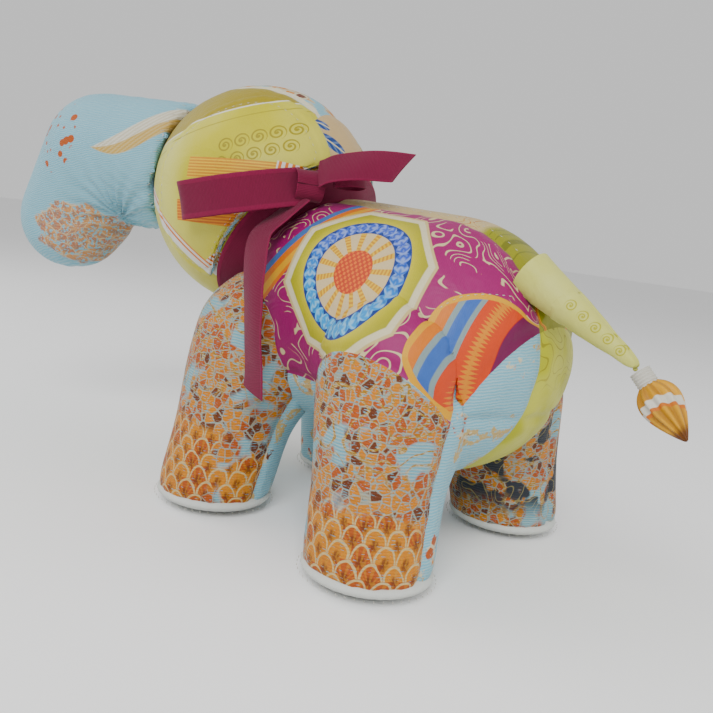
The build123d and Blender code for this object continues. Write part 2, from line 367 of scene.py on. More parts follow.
def fish_scales(cloth, colours, u, v, size):
    """Rows of overlapping round scales: rayed fill, orange band and pale outline."""
    s = u / size
    t = v / (size * 0.62)
    row = t.math("FLOOR")
    shifted = s + (row * 0.5).math("FRACT")
    f = shifted.math("FRACT") - 0.5
    g = t - row
    own = ((f * 2.0) ** 2.0 + g * g) ** 0.5
    behind = (((f.abs() - 0.5) * 2.0) ** 2.0 + (g - 1.0) ** 2.0) ** 0.5
    inside = own.step(1.0, 0.97)
    reach = own * inside + (1.0 - inside) * (behind * 0.62 + 0.1)
    seed = cloth.vector(shifted.math("FLOOR"), row, 0.0)
    chance = cloth.node("ShaderNodeTexWhiteNoise", {"noise_dimensions": "3D"}, {"Vector": seed})
    fill = cloth.mix(chance.step(0.45, 0.55), tuple(colours.rust), tuple(colours.orange))
    fill = cloth.mix(reach.step(0.45, 0.2) * 0.8, fill, (0.16, 0.05, 0.025))
    rays = ((f / (g + 0.35)) * 16.0).sin().step(0.1, 0.6)
    fill = cloth.mix(rays * 0.45, fill, (0.70, 0.42, 0.20))
    edge = (reach - 0.9).abs().step(0.12, 0.05)
    return cloth.mix(edge, fill, (0.70, 0.56, 0.34)), 1.0 - edge


def flower_scales(cloth, colours, vector, scale, line=(0.15, 0.07), outline=None):
    """Overlapping woven petals: cell fill, cream outline and a dark core."""
    edge = cloth.cells(vector, scale, "DISTANCE_TO_EDGE")
    tone = cloth.node("ShaderNodeTexVoronoi", {"feature": "F1"},
                      {"Vector": vector, "Scale": scale}, "Color", wrap=False)
    red, green, _ = cloth.split(tone)
    fill = cloth.mix(red.step(0.35, 0.5), tuple(colours.rust), tuple(colours.orange))
    fill = cloth.mix(green.step(0.7, 0.8), fill, (0.16, 0.055, 0.03))
    return cloth.mix(edge.step(*line), fill, outline or tuple(colours.cream)), edge


def blue_brocade(colours):
    """Light blue ribbed brocade with scattered sprigs of rust, tan and cream."""
    cloth = Cloth("blue_brocade")
    spots = cloth.spots()
    ribs = rib(cloth, 0.95)
    ground = cloth.mix(ribs * 0.55, tuple(colours.blue), (0.62, 0.72, 0.72))
    petals, edge = flower_scales(cloth, colours, spots, 0.2)
    sprig = cloth.noise(spots, 0.045, 3.0, 0.6)
    broken = cloth.noise(spots, 0.9, 1.0)
    mask = (sprig + broken * 0.14).step(0.67, 0.70)
    colour = cloth.mix(mask, ground, petals)
    leaf = cloth.noise(cloth.spots((30, 12, 5)), 0.05, 2.0)
    leaf_mask = (leaf + broken * 0.1).near(0.665, 0.018, 0.008)
    colour = cloth.mix(leaf_mask, colour, (0.60, 0.47, 0.27))
    height = weave(cloth, 0.9) * 0.5 + ribs * 0.5 + mask * 0.5 + creases(cloth) * 3.0
    return cloth.finish(wear(cloth, colour), height, 0.5, 0.62, 0.3)


def trunk_brocade(colours):
    """Light blue brocade with a hatched leaf, a scaled flower at the tip and a rust sprig."""
    cloth = Cloth("trunk_brocade")
    spots = cloth.spots(HEAD, HEAD_TURN)
    x, y, z = cloth.split(spots)
    ribs = rib(cloth, 0.9)
    ground = cloth.mix(ribs * 0.5, tuple(colours.blue), (0.60, 0.71, 0.73))
    # Leaf: an S curve along the upper side, hatched cream above and tan below
    along = (x - 20.0) / 52.0
    spine = 31.0 - along * 19.0 + (along * 6.2).sin() * 2.6
    across = z - spine
    swell = (along * math.pi).sin().most(0.0) * 6.6
    inside = (swell - across.abs()).step(0.0, 0.8)
    hatch = ((x * 0.8 + z * 0.9) * 3.4).sin().step(-0.2, 0.3)
    upper = cloth.mix(hatch * 0.45, (0.80, 0.77, 0.66), (0.50, 0.44, 0.30))
    lower = cloth.mix(hatch * 0.5, (0.63, 0.46, 0.22), (0.74, 0.62, 0.40))
    leaf = cloth.mix(across.step(-0.3, 0.3), lower, upper)
    colour = cloth.mix(inside, ground, leaf)
    # Flower at the tip: rows of petals
    out = ((x - 82.0) ** 2.0 + (z + 24.0) ** 2.0) ** 0.5
    round_about = (z + 24.0).math("ARCTAN2", x - 82.0)
    petals, edge = fish_scales(cloth, colours, round_about * 9.0, 20.0 - out, 5.6)
    petals = cloth.mix(0.35, petals, (0.62, 0.58, 0.52))
    wobble = cloth.noise(spots, 0.12, 3.0) * 9.0
    flower = (((x - 82.0) ** 2.0 * 0.55 + (z + 26.0) ** 2.0) ** 0.5 + wobble).step(19.0, 17.6)
    gaps = cloth.noise(spots, 0.7, 1.0).step(0.40, 0.46)
    colour = cloth.mix(flower * gaps, colour, petals)
    # Sprig on the crown of the bend
    sprig_noise = cloth.noise(spots, 0.16, 2.5)
    sprig = ((((x - 90.0) ** 2.0 + (z - 14.0) ** 2.0 * 0.5) ** 0.5) + sprig_noise * 16.0).step(19.0, 17.8)
    small = cloth.cells(spots, 0.22, "F1").step(0.42, 0.34)
    colour = cloth.mix(sprig * small, colour, tuple(colours.rust))
    pucker = ((z * 0.8 - x * 0.5) * 1.5).sin() * ((((x - 58.0) ** 2.0 + (z + 14.0) ** 2.0) ** 0.5)
                                                 .step(26.0, 8.0))
    height = ribs * 0.5 + weave(cloth, 0.9) * 0.4 + inside * 0.5 + flower * gaps * 0.5
    height = height + pucker * 0.9 + creases(cloth) * 3.0
    return cloth.finish(wear(cloth, colour), height, 0.5, 0.62, 0.3)


def scale_brocade(colours, name, foot, fall=0.0, dark=0.0):
    """Woven leg brocade: round scales low down, a fine mosaic above, gold scrolls at the top."""
    cloth = Cloth(name)
    spots = cloth.spots(foot)
    x, y, z = cloth.split(spots)
    turn = y.math("ARCTAN2", x)
    u = turn * 24.0
    drift = cloth.noise(spots, 0.10, 2.0)
    ribs = ((z + drift * 2.0) * (2 * math.pi / 1.0)).sin() * 0.5 + 0.5
    ground = cloth.mix(ribs * 0.7, tuple(c * 0.86 for c in colours.blue), (0.50, 0.56, 0.52))
    streak = cloth.noise(cloth.vector(u * 0.35, z * 2.2, 3.0), 1.0, 2.0)
    colour = ground
    # Fine mosaic of rust, orange and brown chips
    chips, chip_edge = flower_scales(cloth, colours, cloth.vector(x, y, z * 0.9), 0.33, (0.10, 0.03),
                                     (0.40, 0.40, 0.33))
    patches = cloth.noise(spots, 0.055, 2.0)
    mosaic = patches.step(0.40, 0.46) * (streak + ribs * 0.10).step(0.40, 0.47)
    colour = cloth.mix(mosaic, colour, chips)
    # Large round scales near the foot
    scales, scale_edge = fish_scales(cloth, colours, u + drift * 4.0, z + drift * 3.0, 8.6)
    zone = (z + cloth.noise(spots, 0.05, 1.0) * 40.0).step(50.0 + fall, 42.0 + fall)
    zone = zone * cloth.noise(cloth.spots((40, 0, 9)), 0.035, 1.0).step(0.40, 0.46)
    scale_mask = zone * (streak + ribs * 0.12).step(0.36, 0.42)
    colour = cloth.mix(scale_mask, colour, scales)
    # Gold and cream scrolls towards the thigh
    flow = (cloth.noise(spots, 0.065, 1.2) * 24.0).sin().abs().step(0.36, 0.20)
    gold = cloth.mix(streak.step(0.45, 0.52), (0.62, 0.52, 0.34), (0.42, 0.26, 0.10))
    top = z.step(26.0 + fall, 50.0 + fall)
    colour = cloth.mix(flow * top * streak.step(0.34, 0.40), colour, gold)
    if dark:
        deep = cloth.noise(cloth.spots((3, 0, 0)), 0.055, 2.5).step(0.47, 0.50)
        wave = ((cloth.noise(spots, 0.09, 1.0) * 30.0).sin()).abs().step(0.30, 0.12)
        ink = cloth.mix(wave, (0.03, 0.035, 0.045), (0.30, 0.26, 0.14))
        colour = cloth.mix(deep * z.step(8.0, 20.0), colour, ink)
    height = ribs * 0.7 + weave(cloth, 0.95) * 0.4 + mosaic * 0.5 + scale_mask * scale_edge * 0.6
    height = height + creases(cloth) * 3.0
    return cloth.finish(wear(cloth, colour, 0.30), height, 0.6, 0.68, 0.3)


def girth(cloth):
    """Coordinates on the barrel in millimetres: along it, and round it from its side."""
    x, y, z = cloth.split(cloth.spots())
    axis = 76.0 + (x - REAR_BALL.x) * (7.0 / 48.0)
    reach = 47.0 - (x - REAR_BALL.x).most(0.0) * (5.0 / 48.0)
    behind = (x - REAR_BALL.x).least(0.0)
    radius = (reach * reach - behind * behind).most(100.0) ** 0.5
    angle = ((z - axis) / radius).least(1.0).most(-1.0).math("ARCSINE")
    return x - (SHIFT_X + PRINT_ORIGIN), angle * GIRTH_RADIUS


def flank_print(colours):
    """Silk print: a roped wheel in an octagon, a striped patch, and scrolls on magenta."""
    cloth = Cloth("flank_silk_left")
    along, up = girth(cloth)
    u = along - MEDALLION[0]
    v = up - MEDALLION[1]
    radius = (u * u + v * v) ** 0.5
    turn = v.math("ARCTAN2", u)
    gold = tuple(colours.gold)
    cream = (0.74, 0.64, 0.42)
    # Magenta ground with cream scrolls
    flow = cloth.noise(cloth.vector(along, up, 0.0), 0.055, 1.0)
    curl = ((flow * 50.0).sin()).abs().step(0.36, 0.20)
    bands = cloth.noise(cloth.vector(along, up, 4.0), 0.09, 1.0).step(0.40, 0.44)
    colour = cloth.mix(curl * bands, tuple(colours.magenta), cream)
    # Slanted bands of orange, gold and slate beside the ribbon
    slant = along * 0.9 + up * 0.42
    for start, end, shade in ((1.0, 8.0, (0.80, 0.20, 0.02)), (2.5, 5.0, gold),
                              (8.0, 10.5, (0.16, 0.24, 0.46))):
        colour = cloth.mix(slant.near((start + end) / 2 - 2.0, (end - start) / 2, 0.25), colour, shade)
    # Octagon: cream border, olive field
    side = u.abs().most(v.abs()).most((u.abs() + v.abs()) * 0.7071)
    colour = cloth.mix(side.step(30.2, 29.8), colour, (0.70, 0.58, 0.34))
    colour = cloth.mix(side.step(29.2, 28.8), colour, (0.80, 0.74, 0.54))
    field = cloth.mix(radius.step(20.0, 29.0), (0.74, 0.67, 0.20), (0.42, 0.40, 0.10))
    colour = cloth.mix(side.step(27.0, 26.6), colour, field)
    # Cream disc, rope spokes, woven hub
    colour = cloth.mix(radius.step(18.2, 17.8), colour, (0.76, 0.63, 0.42))
    spokes = (turn * 7.5).cos().abs()
    spoke = (1.0 - spokes) * radius * 0.42
    rope = ((radius * 4.2 + turn * 9.0).sin() * 0.5 + 0.5)
    twisted = cloth.mix(rope, (0.66, 0.28, 0.01), (0.95, 0.60, 0.05))
    spoke_mask = spoke.step(1.1, 0.8) * radius.step(16.6, 16.0)
    colour = cloth.mix(spoke_mask, colour, twisted)
    hub_weave = ((u * 2.6).sin() * (v * 2.6).sin()).step(-0.1, 0.4)
    hub = cloth.mix(hub_weave, (0.62, 0.05, 0.01), (0.92, 0.19, 0.02))
    colour = cloth.mix(radius.step(8.4, 8.0), colour, hub)
    # Braided rope ring: two strands that cross, periwinkle above and sky blue below
    strand_a = (radius - 19.6 - (turn * 15.0).sin() * 1.35).abs()
    strand_b = (radius - 19.6 + (turn * 15.0).sin() * 1.35).abs()
    strand = strand_a.least(strand_b)
    over = (turn * 30.0).sin()
    blue_tone = cloth.mix(v.step(-14.0, 12.0), (0.14, 0.42, 0.82), (0.17, 0.22, 0.62))
    light_tone = cloth.mix(v.step(-14.0, 12.0), (0.42, 0.70, 0.93), (0.42, 0.50, 0.85))
    shine = ((strand * 2.2 + turn * 40.0).sin() * 0.5 + 0.5)
    braid = cloth.mix(shine, blue_tone, light_tone)
    braid = cloth.mix(strand.step(1.25, 1.6), braid, (0.05, 0.08, 0.26))
    braid = cloth.mix(over.step(0.75, 0.95) * 0.4, braid, (0.07, 0.12, 0.36))
    braid_mask = (radius - 19.6).abs().step(3.3, 3.0)
    colour = cloth.mix(braid_mask, colour, braid)
    # Striped patch behind the wheel
    a = (along + 72.0) * -1.0 - (up - 12.0) * 0.08
    b = up
    wedge = (((b - 14.0).abs() - a * 1.6 - 9.5) * 0.5 + 3.0).most(0.0)
    front = (3.0 - a).most(0.0)
    patch = (wedge * wedge + front * front) ** 0.5
    inner = patch.step(3.1, 2.9)
    colour = cloth.mix(inner, colour, gold)
    stripes = cloth.mix(a.step(4.4, 4.7), (0.86, 0.22, 0.01), (0.30, 0.38, 0.38))
    for start, shade in ((5.9, (0.17, 0.25, 0.55)), (8.8, (0.30, 0.38, 0.38)),
                         (10.0, (0.82, 0.07, 0.01)), (17.2, (0.20, 0.02, 0.09))):
        stripes = cloth.mix(a.step(start, start + 0.3), stripes, shade)
    zigzag = (b * 1.5).math("PINGPONG", 1.6)
    chain = (a - 13.6).abs() - zigzag
    stripes = cloth.mix(chain.step(0.3, 0.0) * a.near(13.6, 2.4), stripes, (0.90, 0.34, 0.06))
    shading = cloth.noise(cloth.vector(a, b * 0.25, 0.0), 1.4, 1.0) * 0.3
    stripes = cloth.mix(shading * 0.4, stripes, (0.02, 0.01, 0.02))
    colour = cloth.mix(patch.step(1.3, 1.1), colour, stripes)
    twill = weave(cloth, 0.55, 0.7)
    height = twill * 0.35 + creases(cloth, 0.11) * 3.5 + strand.step(1.6, 0.2) * braid_mask * 0.25
    return cloth.finish(wear(cloth, colour, 0.12), height, 0.4, 0.48, 0.18)


def right_flank_print(colours):
    """Silk print of the far flank: beige, a gold wedge, and veined olive towards the rump."""
    cloth = Cloth("flank_silk_right")
    along, up = girth(cloth)
    flow = cloth.noise(cloth.vector(along, up, 9.0), 0.05, 1.5)
    veins = ((flow * 50.0 + along * 0.2).sin()).abs().step(0.25, 0.1)
    olive = cloth.mix(veins * 0.7, (0.33, 0.33, 0.06), (0.14, 0.15, 0.03))
    beige = cloth.mix(veins * 0.25, (0.66, 0.54, 0.34), (0.48, 0.34, 0.16))
    colour = cloth.mix(along.step(-66.0, -70.0), beige, olive)
    colour = cloth.mix(along.near(-60.0, 5.0, 0.6) * veins.step(0.0, 0.2), colour, (0.55, 0.20, 0.03))
    colour = cloth.mix((along * 0.5 + up).near(14.0, 3.5, 0.3), colour, tuple(colours.gold))
    colour = cloth.mix((along * 0.5 + up).near(12.2, 1.2, 0.3), colour, (0.75, 0.16, 0.01))
    rosette = ((along + 78.0) ** 2.0 + (up - 46.0) ** 2.0) ** 0.5
    ray = ((up - 46.0).math("ARCTAN2", along + 78.0) * 9.0).cos()
    petal = cloth.mix(ray.step(-0.2, 0.3), (0.24, 0.12, 0.03), (0.62, 0.36, 0.10))
    colour = cloth.mix(rosette.step(9.4, 9.0), colour, petal)
    colour = cloth.mix(rosette.near(9.8, 0.9), colour, (0.78, 0.14, 0.02))
    height = weave(cloth, 0.55, 0.7) * 0.35 + creases(cloth, 0.11) * 3.5
    return cloth.finish(wear(cloth, colour, 0.14), height, 0.4, 0.5, 0.18)


def rump_silk(colours):
    """Chartreuse silk of the rump with dark fern veins."""
    cloth = Cloth("rump_silk")
    spots = cloth.spots()
    x, y, z = cloth.split(spots)
    flow = cloth.noise(spots, 0.06, 1.5)
    veins = ((flow * 46.0 + z * 0.3).sin()).abs().step(0.28, 0.12)
    ground = cloth.mix(flow.step(0.40, 0.6), (0.50, 0.50, 0.10), (0.62, 0.62, 0.20))
    colour = cloth.mix(veins * 0.55 * z.step(66.0, 76.0), ground, (0.16, 0.12, 0.03))
    height = weave(cloth, 0.55, 0.7) * 0.35 + creases(cloth, 0.1) * 3.0
    return cloth.finish(wear(cloth, colour, 0.2), height, 0.4, 0.5, 0.2)


def scroll(u, v, centre, size):
    """One round curl: a spiral line with a dot at its heart, as a mask."""
    du = (u - centre[0]) / size
    dv = (v - centre[1]) / size
    radius = (du * du + dv * dv) ** 0.5
    angle = dv.math("ARCTAN2", du)
    line = (radius * 2.0 - angle / (2 * math.pi)).wrap(0.0, 1.0).near(0.5, 0.16, 0.08)
    dot = radius.step(0.2, 0.14)
    return (line * radius.step(1.0, 0.92)).most(dot)


def olive_silk(colours):
    """Olive silk print of the ears: a banded edge, paired curls, tassels and stitched ticks."""
    cloth = Cloth("olive_silk")
    x, y, z = cloth.split(cloth.spots(HEAD, HEAD_TURN))
    band_across = z + x * 0.42
    tone = cloth.noise(cloth.vector(x, z, 0.0), 0.03, 1.5)
    ground = cloth.mix(tone.step(0.35, 0.65), tuple(colours.olive), (0.72, 0.68, 0.24))
    ground = cloth.mix(x.step(6.0, 22.0), ground, (0.76, 0.74, 0.30))
    colour = cloth.mix(band_across.step(30.0, 31.0), ground, (0.40, 0.33, 0.10))
    colour = cloth.mix(band_across.near(30.2, 0.28, 0.12), colour, (0.88, 0.86, 0.74))
    colour = cloth.mix(band_across.near(25.6, 0.2, 0.12), colour, (0.46, 0.42, 0.12))
    mask = None
    for pair in range(5):
        centre = -27.0 + pair * 5.6
        for row, size in ((26.5, 3.1), (19.6, 2.9)):
            curl = scroll(x, z, (centre, row - pair * 2.5), size)
            mask = curl if mask is None else mask.most(curl)
    colour = cloth.mix(mask * 0.85, colour, (0.34, 0.28, 0.05))
    # Tassels that lie towards the bow
    gold = cloth.mix(((z * 5.5 + x * 0.3).sin()).step(-0.2, 0.6), (0.74, 0.30, 0.0), (0.98, 0.60, 0.03))
    tassel = (x.near(-10.0, 19.0, 0.5)) * ((z - 7.5 + x * 0.05).near(0.0, 3.8, 0.3))
    colour = cloth.mix(tassel, colour, gold)
    orange = cloth.mix(((z * 5.5 + x * 0.3).sin()).step(-0.2, 0.6), (0.70, 0.16, 0.0), (0.95, 0.36, 0.02))
    lower = (x.near(0.0, 13.0, 0.5)) * ((z + 9.5).near(0.0, 3.8, 0.3))
    colour = cloth.mix(lower, colour, orange)
    # Ticks of orange and white along the lower front edge and by the nape
    front = z + 34.0 - (x - 2.0).abs() * 0.75
    tick = ((x * 2.0 - z * 2.6).sin()).step(0.0, 0.3)
    ticks = cloth.mix(tick, (0.84, 0.82, 0.76), (0.84, 0.22, 0.02))
    colour = cloth.mix(front.near(4.5, 1.6, 0.3), colour, ticks)
    colour = cloth.mix(front.near(1.6, 1.4, 0.3), colour, (0.86, 0.85, 0.80))
    nape = (x + 30.0).near(0.0, 5.5, 0.3) * (z - 14.0 - x * 0.1).near(0.0, 1.7, 0.3)
    tick_b = ((x * 2.9).sin()).step(0.0, 0.3)
    ticks_b = cloth.mix(tick_b, (0.84, 0.82, 0.76), (0.84, 0.22, 0.02))
    colour = cloth.mix(nape, colour, ticks_b)
    height = weave(cloth, 0.55, 0.7) * 0.35 + mask * 0.9 + creases(cloth, 0.1) * 3.0
    return cloth.finish(wear(cloth, colour, 0.12), height, 0.45, 0.5, 0.2)


def beige_silk(colours):
    """Beige silk print of the nape with dark veined feathers and a gold chain."""
    cloth = Cloth("beige_silk")
    x, y, z = cloth.split(cloth.spots(HEAD, HEAD_TURN))
    colour = cloth.mix(cloth.noise(cloth.spots(), 0.04), tuple(colours.beige), (0.70, 0.56, 0.36))
    for centre in ((20.0, 33.0), (18.0, 24.0), (-14.0, 30.0)):
        dy = y - centre[0]
        dz = z - centre[1]
        p = dy * 0.85 + dz * 0.5
        q = dz * 0.85 - dy * 0.5
        body = ((p / 5.6) ** 2.0 + (q / 3.0) ** 2.0) ** 0.5
        vein = ((p * 1.9 + q.abs() * 2.2).sin()).step(0.2, 0.6)
        tone = cloth.mix(vein * 0.6, (0.05, 0.09, 0.26), (0.30, 0.38, 0.55))
        tone = cloth.mix(q.near(0.0, 0.3, 0.15), tone, (0.72, 0.64, 0.44))
        colour = cloth.mix(body.step(1.0, 0.94), colour, tone)
    link = ((((y * 1.1).sin() * 1.3) - (z - 14.0)).abs()).least((((y * 1.1).sin() * 1.3) + (z - 14.0)).abs())
    colour = cloth.mix(link.step(0.7, 0.5), colour, (0.72, 0.42, 0.03))
    height = weave(cloth, 0.55, 0.7) * 0.35 + creases(cloth, 0.1) * 3.0
    return cloth.finish(wear(cloth, colour, 0.12), height, 0.4, 0.5, 0.2)


def crown_silk(colours):
    """Strip over the crown: blue and tan brocade with an orange flower and a cream edge."""
    cloth = Cloth("crown_brocade")
    spots = cloth.spots(HEAD, HEAD_TURN)
    x, y, z = cloth.split(spots)
    flow = cloth.noise(spots, 0.07, 2.0)
    ribs = rib(cloth, 0.9)
    colour = cloth.mix(ribs * 0.5, tuple(colours.blue), (0.62, 0.71, 0.72))
    colour = cloth.mix(flow.step(0.46, 0.50), colour, (0.60, 0.56, 0.42))
    petals, _ = flower_scales(cloth, colours, spots, 0.2)
    colour = cloth.mix((flow.near(0.56, 0.04, 0.02)), colour, petals)
    colour = cloth.mix((y.abs()).near(13.4, 1.0, 0.3), colour, (0.78, 0.74, 0.60))
    height = ribs * 0.5 + weave(cloth, 0.9) * 0.4 + creases(cloth) * 3.0
    return cloth.finish(wear(cloth, colour), height, 0.5, 0.6, 0.3)


def chartreuse_silk(colours):
    """Pale chartreuse silk of the tail with round curls along its upper edge."""
    cloth = Cloth("chartreuse_silk")
    x, y, z = cloth.split(cloth.spots(from_barrel(-68.0, 11.0, 102.5)))
    run = x * -0.869 + z * -0.495
    rise = z * 0.869 - x * 0.495
    colour = cloth.mix(cloth.noise(cloth.spots(), 0.05), (0.70, 0.70, 0.24), (0.76, 0.77, 0.38))
    mask = None
    for number in range(5):
        curl = scroll(run, rise, (12.0 + number * 5.0, 2.2 - number * 0.35), 1.9)
        mask = curl if mask is None else mask.most(curl)
    colour = cloth.mix(mask * 0.75, colour, (0.44, 0.42, 0.08))
    height = weave(cloth, 0.55, 0.7) * 0.35 + mask * 0.7 + creases(cloth, 0.12) * 3.0
    return cloth.finish(wear(cloth, colour, 0.12), height, 0.45, 0.5, 0.2)


def gold_pleats(colours):
    """Golden silk gathered into ribs along the tuft, with painted shade in brown in the hollows between the
    ribs, brown at its tip, with a white band.
    """
    cloth = Cloth("gold_silk")
    seat = middle("tail_tuft")
    x, y, z = cloth.split(cloth.spots(seat))
    run = x * -0.7071 + z * -0.7071
    rise = z * 0.7071 - x * 0.7071
    pleat_relief_and_shade = (y.math("ARCTAN2", rise) * 11.0 + run * 0.25).sin() * 0.5 + 0.5
    # Painted shade: brown where the pleat wave is low, in each hollow between ribs, and gold on the crests.
    # The same wave also gives the bump height.
    colour = cloth.mix(pleat_relief_and_shade, (0.52, 0.22, 0.0), tuple(colours.gold))
    colour = cloth.mix((run + y * 0.6).near(1.0, 1.3, 0.3), colour, (0.80, 0.77, 0.68))
    colour = cloth.mix((run + y * 0.6).near(2.8, 0.4, 0.2), colour, (0.72, 0.20, 0.03))
    colour = cloth.mix(run.step(6.0, 9.0), colour, (0.20, 0.07, 0.02))
    height = pleat_relief_and_shade * 1.2 + weave(cloth, 0.55, 0.7) * 0.3
    return cloth.finish(wear(cloth, colour, 0.16), height, 0.6, 0.45, 0.25)


def woven_ribbon(colours):
    """Matte burgundy ribbon: fine cross ribs and a firm selvedge, from its own UV map."""
    cloth = Cloth("woven_ribbon")
    uv = cloth.node("ShaderNodeUVMap", {"uv_map": "strip"}, {}, wrap=False)
    u, v, _ = cloth.split(uv)
    ribs = (v * (2 * math.pi / 0.55)).sin() * 0.5 + 0.5
    threads = (u * (2 * math.pi / 0.42)).sin() * 0.5 + 0.5
    selvedge = (u.abs()).step(5.1, 5.6)
    deep = tuple(c * 0.55 for c in colours.ribbon)
    colour = cloth.mix(ribs * 0.45 + threads * 0.2, tuple(colours.ribbon), deep)
    colour = cloth.mix(selvedge * 0.35, colour, tuple(min(1, c * 1.6) for c in colours.ribbon))
    height = ribs * 0.6 + threads * 0.3 + selvedge * 0.6
    return cloth.finish(wear(cloth, colour, 0.2), height, 0.5, 0.85, 0.4)


def sole_cloth(colours):
    """Plain white sole cloth with an orange crescent where the patch changes."""
    cloth = Cloth("sole_cloth")
    x, y, z = cloth.split(cloth.spots())
    crescent = (x - (61.2 + SHIFT_X)).step(0.0, 1.2) * (y - 20.0).step(0.0, 1.0)
    colour = cloth.mix(crescent, tuple(colours.sole), (0.80, 0.12, 0.02))
    height = weave(cloth, 0.6) * 0.6 + creases(cloth, 0.14) * 2.0
    return cloth.finish(wear(cloth, colour, 0.14), height, 0.45, 0.7, 0.2)


def thread_cloth(name, shade):
    """Sewing thread: a fine twist."""
    cloth = Cloth(name)
    x, y, z = cloth.split(cloth.spots())
    twist = ((x + y + z) * 16.0).sin() * 0.5 + 0.5
    colour = cloth.mix(twist * 0.5, shade, tuple(c * 0.55 for c in shade))
    return cloth.finish(colour, twist, 0.4, 0.6, 0.2, 0.1)


def fibre(colours):
    """White polyester fibre, seen only where a cover is opened."""
    cloth = Cloth("fibre_fill")
    hair = cloth.noise(cloth.spots(), 1.5, 6.0, 0.75)
    colour = cloth.mix(hair, (0.62, 0.62, 0.60), (0.86, 0.86, 0.84))
    return cloth.finish(colour, hair, 0.8, 0.9, 0.1)


FABRICS = {}


# ---------------------------------------------------------------------------------------------
# Modelling steps that the pieces share


def clear_selection():
    if bpy.context.object and bpy.context.object.mode != "OBJECT":
        bpy.ops.object.mode_set(mode="OBJECT")
    bpy.ops.object.select_all(action="DESELECT")


def take(obj):
    """Makes obj the only selected and active object."""
    clear_selection()
    obj.hide_set(False)
    obj.select_set(True)
    bpy.context.view_layer.objects.active = obj
    return obj


def apply_all(obj):
    take(obj)
    for modifier in list(obj.modifiers):
        bpy.ops.object.modifier_apply(modifier=modifier.name)


def points_of(obj):
    flat = np.empty(len(obj.data.vertices) * 3)
    obj.data.vertices.foreach_get("co", flat)
    return flat.reshape(-1, 3)


def normals_of(obj):
    flat = np.empty(len(obj.data.vertices) * 3)
    obj.data.vertices.foreach_get("normal", flat)
    return flat.reshape(-1, 3)


def set_points(obj, points):
    obj.data.vertices.foreach_set("co", points.reshape(-1))
    obj.data.update()


def dress(obj, body, fabric, *nodes):
    """Gives a finished piece its fabric, its body and the nodes it stands for."""
    obj.data.materials.clear()
    obj.data.materials.append(FABRICS[fabric])
    if body:
        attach(obj, body)
    if nodes:
        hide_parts(*nodes)
    return obj


def stuffed_form(sizes, node, grow=0.0010, step=None, body="elephant", plump=1.0):
    """Copy of a stuffing node, rebuilt on an even grid and swollen by cloth under pressure.

    The stuffing itself becomes the same form, drawn in below the covers and their seams."""
    source = bpy.data.objects[node]
    form = source.copy()
    form.data = source.data.copy()
    form.name = node + "_form"
    bpy.context.scene.collection.objects.link(form)
    for key in list(form.keys()):
        del form[key]
    take(form)
    bpy.ops.object.mode_set(mode="EDIT")
    bpy.ops.mesh.select_all(action="SELECT")
    bpy.ops.mesh.remove_doubles(threshold=1e-6)
    bpy.ops.object.mode_set(mode="OBJECT")
    remesh = form.modifiers.new("even", "REMESH")
    remesh.mode = "VOXEL"
    remesh.voxel_size = step or sizes.mesh_step
    smooth = form.modifiers.new("soften", "SMOOTH")
    smooth.iterations = 3
    apply_all(form)
    base = points_of(form) + normals_of(form) * grow
    set_points(form, base)
    swell(form, sizes, base, plump)
    fill = form.copy()
    fill.data = form.data.copy()
    fill.name = node + "_packed"
    bpy.context.scene.collection.objects.link(fill)
    set_points(fill, points_of(fill) - normals_of(fill) * (FILL_DEPTH + grow))
    take(fill)
    bpy.ops.object.shade_smooth()
    dress(fill, body, "fibre_fill", node)
    divide = form.modifiers.new("finer", "SUBSURF")
    divide.levels = divide.render_levels = 2
    apply_all(form)
    return form


def swell(form, sizes, base, plump):
    """Cloth simulation under pressure, with each point held within the swell of its start."""
    cloth = form.modifiers.new("stuffing", "CLOTH")
    settings = cloth.settings
    settings.use_pressure = True
    settings.uniform_pressure_force = sizes.pressure
    settings.tension_stiffness = 12
    settings.compression_stiffness = 12
    settings.shear_stiffness = 4
    settings.bending_stiffness = 0.4
    settings.effector_weights.gravity = 0
    scene = bpy.context.scene
    for number in range(1, sizes.frames + 1):
        scene.frame_set(number)
    graph = bpy.context.evaluated_depsgraph_get()
    result = form.evaluated_get(graph)
    moved = np.empty(len(result.data.vertices) * 3)
    result.data.vertices.foreach_get("co", moved)
    move = moved.reshape(-1, 3) - base
    size = np.linalg.norm(move, axis=1, keepdims=True)
    limit = np.minimum(1.0, sizes.swell * plump / np.maximum(size, 1e-9))
    form.modifiers.remove(cloth)
    scene.frame_set(1)
    set_points(form, base + move * limit)


def pull_seam(form, sizes, distances, along, pucker=0.35, reach=1.0):
    """Pulls cloth in along seams. distances are to the nearest seam, along runs beside it."""
    points = points_of(form)
    normals = normals_of(form)
    width = sizes.seam_width * reach
    valley = np.exp(-((distances / width) ** 2))
    wide = np.exp(-((distances / (width * 3.2)) ** 2))
    gather = np.sin(along / 0.0021) * 0.6 + np.sin(along / 0.0013 + 1.3) * 0.4
    depth = sizes.seam_depth * valley + sizes.seam_depth * pucker * wide * (0.5 + 0.5 * gather)
    set_points(form, points - normals * depth[:, None])


def plane_distance(points, origin, normal):
    normal = np.array(Vector(normal).normalized())
    return (points - np.array(origin)) @ normal


def capsule_distance(points, start, end, start_radius, end_radius):
    """Signed distance in millimetres to the hull of two balls."""
    axis = np.array(end - start)
    length = np.linalg.norm(axis)
    away = points - np.array(start)
    run = away @ (axis / length)
    off = np.linalg.norm(away - np.outer(run, axis / length), axis=1)
    lean = (start_radius - end_radius) / length
    reach = math.sqrt(1 - lean * lean)
    share = run - off * lean / reach
    middle_part = off * reach + run * lean - start_radius
    low = np.hypot(off, run) - start_radius
    high = np.hypot(off, run - length) - end_radius
    return np.where(share < 0, low, np.where(share > length, high, middle_part))


